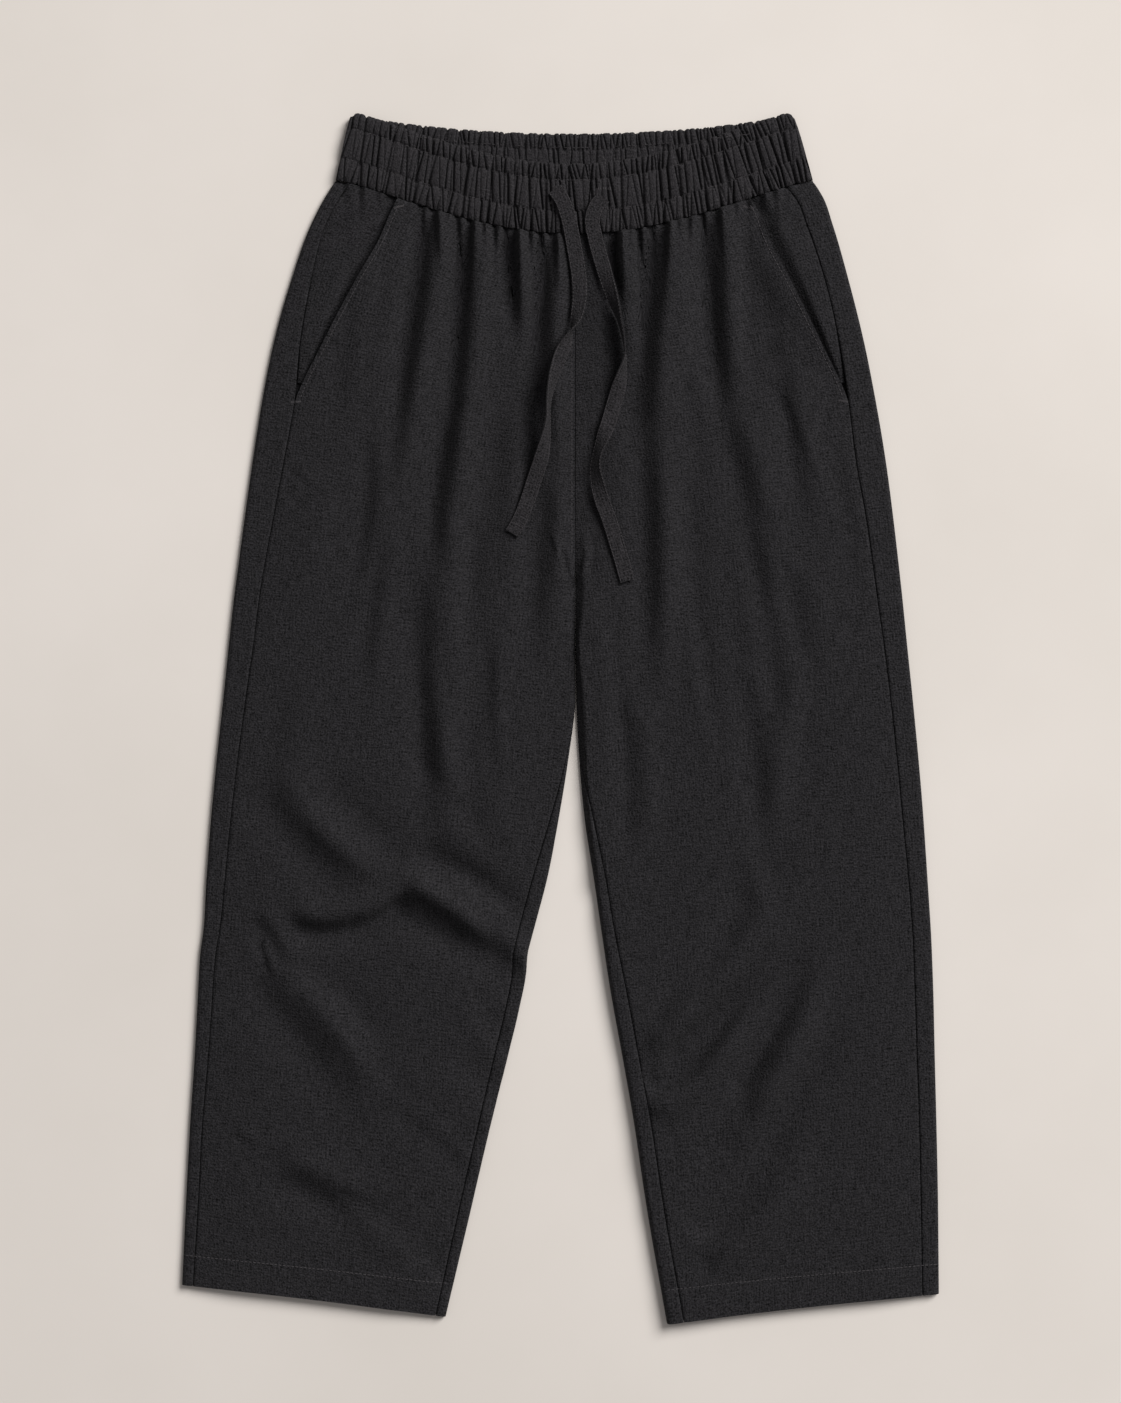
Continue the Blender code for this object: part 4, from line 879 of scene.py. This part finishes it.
def build_band():
    """The front layer wraps round both ends; the back layer lies under it."""
    radius = 0.5 * (BAND_FRONT_BASE + BAND_FRONT_WALL)
    length = BAND_RIGHT_X[1] - BAND_LEFT_X[1]
    edge = radius / length
    turn = np.linspace(-0.5 * math.pi, 0.5 * math.pi, 15)
    v = np.concatenate([edge * (1 - np.cos(turn)), np.linspace(edge, 1 - edge, BAND_COLUMNS)[1:-1],
                        1 - edge * (1 - np.cos(turn[::-1]))])
    z = np.concatenate([radius * (1 + np.sin(turn)), np.full(BAND_COLUMNS - 2, 2 * radius),
                        radius * (1 + np.sin(turn[::-1]))])
    run = np.concatenate([[0.0], np.cumsum(np.hypot(np.diff(v) * length, np.diff(z)))])
    w = np.linspace(0.0, 1.0, BAND_FRONT_ROWS)
    vv, ww = np.meshgrid(v, w)
    x, y = band_plan(vv, ww, "front")
    relief = gather_relief(np.broadcast_to(run, vv.shape), ww, 5)
    upper = ease((z - radius * 0.8) / radius)[None, :]
    rim = -0.9 * (np.exp(-ww / 0.012) + np.exp(-(1 - ww) / 0.02))
    height = np.maximum(z[None, :] + upper * (relief + BAND_LIFT + rim),
                        0.6 * z[None, :] + 0.7 * upper)
    scallop = 0.5 * upper * (relief - relief.mean())
    y = y + scallop * (np.exp(-ww / 0.02) - np.exp(-(1 - ww) / 0.02))
    outer = np.stack([x, y, height], -1)
    inner_z = np.maximum(z[None, :] - SHELL * np.sign(z[None, :] - radius), BAND_INNER_LOW)
    inner_z = np.minimum(inner_z, height - SHELL)
    inner_z = np.where(z[None, :] < radius, z[None, :] + 0.3, inner_z)
    inner = np.stack([x, y, inner_z], -1)
    uv = np.stack([np.broadcast_to(run, vv.shape) * BAND_GATHERED, -ww * BAND_DEPTH], -1)
    front = add_wall("gathered_band_front", outer, inner, uv, False, band_linen)

    v = np.linspace(1.4 * edge, 1 - 1.4 * edge, BAND_COLUMNS)
    w = np.linspace(0.0, 1.0, BAND_BACK_ROWS) ** 1.3
    vv, ww = np.meshgrid(v, w)
    x, y = band_plan(vv, ww, "back")
    relief = gather_relief(vv * length, ww, 9)
    rim = -0.8 * np.exp(-ww / 0.015)
    seen = 1 - 0.6 * ease((ww - 0.45) / 0.2)
    height = np.clip(BAND_BACK_WALL + 1.3 + seen * (0.85 * relief + rim), *BAND_BACK_RANGE)
    height = np.where(ww > 0.3, np.minimum(height, BAND_FRONT_BASE), height)
    y = y + 0.5 * (relief - relief.mean()) * np.exp(-ww / 0.02)
    outer = np.stack([x, y, height], -1)
    inner = np.stack([x, y, np.full_like(x, 0.05)], -1)
    uv = np.stack([vv * length * BAND_GATHERED, -ww * BAND_DEPTH + 80.0], -1)
    back = add_wall("gathered_band_back", outer, inner, uv, False, band_linen)
    for piece, layer in ((front, "front"), (back, "back")):
        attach(piece, "root")
        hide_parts("waistband")
    return front, back


band_front, band_back = build_band()

# %% [markdown]
# ## Stitching
# The seams are sewn with a charcoal thread a shade lighter than the cloth. Each stitch is
# a short rod that tapers at both ends and lies on the cloth, and all the stitches of one
# line are a single mesh. Real thread is 0.3 mm thick; it is drawn at 0.55 mm, because
# finer than that it would be lost between pixels.

# %% Make stitches
THREAD_MM = 0.55
STITCH_PITCH = 3.4
STITCH_SHARE = 0.68         # how much of the pitch the thread covers
STITCH_LIFT = 0.12
ROD_ENDS = ((0.0, 0.4), (0.2, 1.0), (0.8, 1.0), (1.0, 0.4))     # place along it, thickness


def surface_tree(pieces):
    points, faces = [], []
    for piece in pieces:
        shift = len(points)
        points.extend(v.co.copy() for v in piece.data.vertices)
        faces.extend(tuple(shift + i for i in p.vertices) for p in piece.data.polygons)
    return BVHTree.FromPolygons(points, faces)


def height_below(tree, x, y):
    hit = tree.ray_cast(Vector((x * MM, y * MM, 0.1)), Vector((0.0, 0.0, -1.0)))[0]
    return hit.z / MM if hit is not None else 0.0


def add_stitches(name, rods, thickness):
    """One mesh of tapered rods, each from a start to an end point in mm."""
    points, faces = [], []
    for start, end in rods:
        start, end = np.array(start), np.array(end)
        run = end - start
        side = np.cross(run, (0.0, 0.0, 1.0))
        side /= max(np.linalg.norm(side), 1e-6)
        up = np.cross(side, run / np.linalg.norm(run))
        first = len(points)
        for share, fullness in ROD_ENDS:
            r = 0.5 * thickness * fullness
            middle = start + share * run
            points.extend((middle + r * side, middle + r * up, middle - r * side,
                           middle - r * up))
        for ring in range(first, first + 12, 4):
            faces.extend((ring + k, ring + (k + 1) % 4, ring + 4 + (k + 1) % 4, ring + 4 + k)
                         for k in range(4))
        faces.append((first + 3, first + 2, first + 1, first))
        faces.append((first + 12, first + 13, first + 14, first + 15))
    piece = add_mesh(name, np.array(points), faces, np.zeros((len(points), 2)), thread)
    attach(piece, "root")
    print(name, "has", len(rods), "stitches")
    return piece


def rods_along(points, pitch=STITCH_PITCH, share=STITCH_SHARE):
    """Stitches along a line of points, which may be flat or in space."""
    points = np.asarray(points, dtype=float)
    run = np.concatenate([[0.0], np.cumsum(np.linalg.norm(np.diff(points, axis=0), axis=1))])
    starts = np.arange(0.5 * (1 - share) * pitch, run[-1] - pitch, pitch)

    def at(where):
        return np.column_stack([np.interp(where, run, points[:, c])
                                for c in range(points.shape[1])])

    return list(zip(at(starts), at(starts + share * pitch)))


def rods_on(tree, points, pitch=STITCH_PITCH, share=STITCH_SHARE):
    """Stitches that lie on the cloth along a line of plan points."""
    return [tuple((x, y, height_below(tree, x, y) + STITCH_LIFT) for x, y in rod)
            for rod in rods_along(points, pitch, share)]


def satin(tree, start, end, width, spacing=0.75):
    """Short close stitches across a line, as round a buttonhole or on a bar tack."""
    start, end = np.array(start), np.array(end)
    run = end - start
    across = 0.5 * width * np.array((-run[1], run[0])) / np.hypot(*run)
    count = max(int(np.hypot(*run) / spacing), 2)
    rods = []
    for share in np.linspace(0.0, 1.0, count):
        middle = start + share * run
        rods.append(tuple((x, y, height_below(tree, x, y) + STITCH_LIFT)
                          for x, y in (middle - across, middle + across)))
    return rods


# %% Sew the panels
POCKET_STITCH_IN = 3.6
CENTRE_STITCH_IN = 3.0
BAR_TACKS = {"right": ((-133.0, 407.0, -125.5, 409.2), (-215.0, 252.0, -208.0, 252.6)),
             "left": ((146.5, 408.6, 154.0, 406.4), (222.5, 253.4, 229.5, 252.6))}
for side, leg in legs.items():
    tree = surface_tree([panels["front", side], panels["back", side], facings[side]])
    pocket = []
    for outer_y in np.linspace(424.0, 257.0, 80):
        row = leg.section(outer_y)
        pocket.append(leg.plan(row, [row["open_in"] + POCKET_STITCH_IN])[0])
    row = leg.section(leg.hem_y + HEM_DEPTH)
    hem = leg.plan(row, np.linspace(1.5, row["length"] - 1.5, 90))
    rods = rods_on(tree, pocket) + rods_on(tree, hem)
    if side == "right":
        x = CENTRE_X - CENTRE_STITCH_IN
        rods += rods_on(tree, [(x, y) for y in np.linspace(383.0, 128.0, 90)])
    for x0, y0, x1, y1 in BAR_TACKS[side]:
        rods += satin(tree, (x0, y0), (x1, y1), 1.8)
    add_stitches(f"panel_stitches_{side}", rods, THREAD_MM)

# %% Sew the waistband
BACK_STITCH_ROW = 0.2
BUTTONHOLES = (((29.0, 407.5), (29.0, 422.5)), ((39.8, 407.5), (39.8, 422.5)),
               ((-7.5, 411.0), (-3.8, 424.5)), ((-2.6, 411.0), (0.6, 423.5)))
BUTTONHOLE_ENDS = (((29.0, 407.2), (39.8, 407.2)), ((29.0, 422.8), (39.8, 422.8)))
LOOSE_THREAD = ((33.2, 449.2), (36.4, 446.4), (35.8, 441.6))
band_tree = surface_tree([band_front, band_back])
share = np.linspace(0.012, 0.988, 400)
rods = []
for w in BAND_STITCH_ROWS:
    rods += rods_on(band_tree, np.column_stack(band_plan(share, w, "front")))
hidden = np.column_stack(band_plan(share[30:-30], BACK_STITCH_ROW, "back"))
rods += rods_on(band_tree, hidden)
for start, end in BUTTONHOLES:
    rods += satin(band_tree, start, end, 2.4)
for start, end in BUTTONHOLE_ENDS:
    rods += satin(band_tree, start, end, 2.0, 1.1)
rods += rods_on(band_tree, LOOSE_THREAD, 2.6, 0.95)
add_stitches("band_stitches", rods, THREAD_MM)

# %% [markdown]
# ## The drawstring ends
# The drawstring is a strip of the same cloth, folded, topstitched along its edge and
# 12 mm wide. Its two ends come out of buttonholes in the waistband and lie loosely down
# the front, turning over on the way. Each row of `TAPES` is a place on that route and
# the turn of the tape there: 0 lies flat and 90 stands on edge.

# %% Build the drawstring ends
TAPE_WIDTH = 12.0
TAPE_THICK = 1.2
TAPE_CLEAR = 1.1            # it lies loosely, so it touches the cloth only here and there
TAPES = {
    "right": (
        (-4.5, 422, 0), (1, 414, 0), (5.5, 402, 0), (10, 381, 0), (13, 364, 0), (15.2, 348, 5),
        (15.2, 334, 20), (12.5, 318, 45), (7, 304, 110), (1.5, 292, 150), (-3, 280, 140),
        (-7, 266, 120), (-9.5, 252, 105), (-10, 238, 105), (-12, 222, 130), (-15.6, 206, 165),
        (-20.8, 190, 180), (-26, 174, 180), (-32.4, 158, 180), (-38.6, 147, 180),
    ),
    "left": (
        (34.5, 415.5, 0), (28.5, 408, 0), (25.6, 398, 0), (28, 382, 0), (32.4, 366, 5),
        (37, 350, 25), (42, 334, 45), (47, 318, 75), (50.5, 302, 85), (51.5, 288, 95),
        (49, 274, 130), (46, 262, 165), (42, 248, 180), (38, 234, 180), (33.5, 222, 215),
        (29.5, 210, 235), (28, 200, 230), (29.5, 188, 210), (33, 174, 185), (39, 158, 180),
        (44, 142, 180), (48.8, 126, 180), (53.6, 109, 180),
    ),
}
TAPE_STEP = 2.0
TAPE_PAD = 7                # stations on each side over which its height is smoothed
TAPE_TIP_SEAM = 8.0         # the tip is turned in and sewn this far from its end
TAPE_PLAN = (-1.0, -0.9, -0.72, -0.4, 0.0, 0.4, 0.72, 0.9, 1.0)
TAPE_PUFF = (0.75, 1.05, 0.8, 1.1, 1.1, 1.1, 0.8, 1.05, 0.75)


def tape_seams(rings, at):
    """The topstitching near both edges of a tape and across its sewn tip."""
    rods = []
    for column in (1, 7):
        line = []
        for ring in rings:
            under = ring[len(ring) - 1 - column]
            line.append(max(ring[column], under, key=lambda p: p[2]) + (0, 0, STITCH_LIFT))
        rods += rods_along(line, 2.9)
    tip = int(np.searchsorted(at, at[-1] - TAPE_TIP_SEAM))
    across = []
    for column in range(1, 8):
        pair = (rings[tip][column], rings[tip][17 - column])
        across.append(max(pair, key=lambda p: p[2]) + (0, 0, STITCH_LIFT))
    return rods + rods_along(across, 2.4)


def rest_heights(tree, stations, across, turn):
    """Height of the tape's middle line, smoothed so that it rests on what lies below."""
    half = 0.5 * TAPE_WIDTH
    needed = []
    for i, (x, y, _) in enumerate(stations):
        reach = half * abs(math.cos(turn[i])) + 0.8
        heights = [height_below(tree, x + across[i, 0] * q, y + across[i, 1] * q)
                   for q in np.linspace(-reach, reach, 7)]
        upright = half * abs(math.sin(turn[i])) + 0.5 * TAPE_THICK * abs(math.cos(turn[i]))
        needed.append(max(heights) + TAPE_CLEAR + upright)
    needed = np.array(needed)
    window = 2 * TAPE_PAD + 1
    padded = np.pad(needed, TAPE_PAD, mode="edge")
    highest = np.array([padded[i:i + window].max() for i in range(len(needed))])
    padded = np.pad(highest, TAPE_PAD, mode="edge")
    return np.convolve(padded, np.ones(window) / window, mode="valid")


def tape_faces(count, size):
    """Faces of a closed tube of rings, with both ends capped."""
    ids = np.arange(count * size).reshape(count, size)
    nxt = np.roll(ids, -1, axis=1)
    faces = np.stack([ids[:-1], nxt[:-1], nxt[1:], ids[1:]], -1).reshape(-1, 4)
    caps = []
    for k in range(size // 2 - 1):
        caps.append((ids[0, k], ids[0, size - 1 - k], ids[0, size - 2 - k], ids[0, k + 1]))
        caps.append((ids[-1, k + 1], ids[-1, size - 2 - k], ids[-1, size - 1 - k], ids[-1, k]))
    return np.concatenate([faces, np.array(caps)])


def build_tape(side, tree):
    table = np.array(TAPES[side])
    run = run_along(table[:, 0], table[:, 1])
    at = np.linspace(0.0, run[-1], int(round(run[-1] / TAPE_STEP)) + 1)
    stations = np.array([[smooth_lookup(run, table[:, c], a) for c in range(3)] for a in at])
    along = np.gradient(stations[:, :2], axis=0)
    along /= np.hypot(along[:, 0], along[:, 1])[:, None]
    across = np.column_stack([-along[:, 1], along[:, 0]])
    turn = np.radians(stations[:, 2])
    half = 0.5 * TAPE_WIDTH
    centre_z = rest_heights(tree, stations, across, turn)
    rings, uv = [], []
    for i, (x, y, _) in enumerate(stations):
        wide = np.array((across[i, 0] * math.cos(turn[i]), across[i, 1] * math.cos(turn[i]),
                         math.sin(turn[i])))
        thick = np.cross(np.array((along[i, 0], along[i, 1], 0.0)), wide)
        centre = np.array((x, y, centre_z[i]))
        upper = [centre + a * half * wide + 0.5 * TAPE_THICK * p * thick
                 for a, p in zip(TAPE_PLAN, TAPE_PUFF)]
        lower = [centre + a * half * wide - 0.5 * TAPE_THICK * p * thick
                 for a, p in zip(TAPE_PLAN[::-1], TAPE_PUFF[::-1])]
        rings.append(upper + lower)
        uv.append([(q * half, at[i]) for q in TAPE_PLAN]
                  + [(30 + q * half, at[i]) for q in TAPE_PLAN])
    rings = np.array(rings)
    piece = add_mesh(f"linen_tape_{side}", rings.reshape(-1, 3), tape_faces(*rings.shape[:2]),
                     np.array(uv).reshape(-1, 2), tape_linen)
    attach(piece, "root")
    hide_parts(f"drawstring_{side}")
    sewn = add_stitches(f"tape_stitches_{side}", tape_seams(rings, at), 0.4)


cloth_tree = surface_tree([panels["front", "right"], panels["front", "left"], band_front])
for side in ("right", "left"):
    build_tape(side, cloth_tree)

# %% [markdown]
# ## Floor, light and camera
# The floor is smooth pale plaster. One large soft light stands high at the upper right,
# as a window would, and a dim room fills the shadows. The camera looks straight down
# with an 85 mm lens, from the height at which the pair fills the frame as it should.

# %% Make the floor
floor_mesh = bpy.data.meshes.new("plaster_floor")
floor_mesh.from_pydata([(-4, -4, 0), (4, -4, 0), (4, 4, 0), (-4, 4, 0)], [], [(0, 1, 2, 3)])
floor = bpy.data.objects.new("plaster_floor", floor_mesh)
floor.location.z = -0.0003
bpy.context.scene.collection.objects.link(floor)
plaster, tree, shader = new_material("trowelled_plaster", {"Roughness": 0.9})
place = add_node(tree, "ShaderNodeTexCoord").outputs["Object"]
cloud = add_node(tree, "ShaderNodeTexNoise", {"Scale": 2.2, "Detail": 6.0, "Roughness": 0.55},
                 {"Vector": place})
ramp = add_node(tree, "ShaderNodeValToRGB", {}, {"Fac": cloud.outputs["Fac"]})
ramp.color_ramp.elements[0].position = 0.3
ramp.color_ramp.elements[0].color = linear("#DAD4CE")
ramp.color_ramp.elements[1].position = 0.7
ramp.color_ramp.elements[1].color = linear("#E3DDD8")
tree.links.new(ramp.outputs["Color"], shader.inputs["Base Color"])
floor_mesh.materials.append(plaster)

# %% Light it
def area_light(name, place, size, power, colour):
    data = bpy.data.lights.new(name, "AREA")
    data.shape = "DISK"
    data.size = size
    data.energy = power
    data.color = linear(colour)[:3]
    light = bpy.data.objects.new(name, data)
    light.location = place
    light.rotation_euler = (-Vector(place)).to_track_quat("-Z", "Y").to_euler()
    bpy.context.scene.collection.objects.link(light)
    return light


area_light("window_light", (6.2, 5.4, 6.7), 6.4, 1430.0, "#FFFDFA")
world = bpy.data.worlds.new("dim_room")
world.use_nodes = True
world.node_tree.nodes["Background"].inputs["Color"].default_value = linear("#F6F3F2")
world.node_tree.nodes["Background"].inputs["Strength"].default_value = 0.27
bpy.context.scene.world = world
bpy.context.scene.view_settings.view_transform = "Standard"

# %% Place the camera
PIXEL_MM = 0.8
PHOTO_HEIGHT = 1403
LENS_MM = 85.0
SENSOR_MM = 36.0
CENTRE_Y = 12.8
camera_data = bpy.data.cameras.new("overhead")
camera_data.lens = LENS_MM
camera_data.sensor_width = SENSOR_MM
camera = bpy.data.objects.new("overhead", camera_data)
camera.location = (0.0, CENTRE_Y * MM, PHOTO_HEIGHT * PIXEL_MM * MM * LENS_MM / SENSOR_MM + 0.005)
bpy.context.scene.collection.objects.link(camera)
bpy.context.scene.camera = camera
print("camera height", round(camera.location.z, 3), "m")
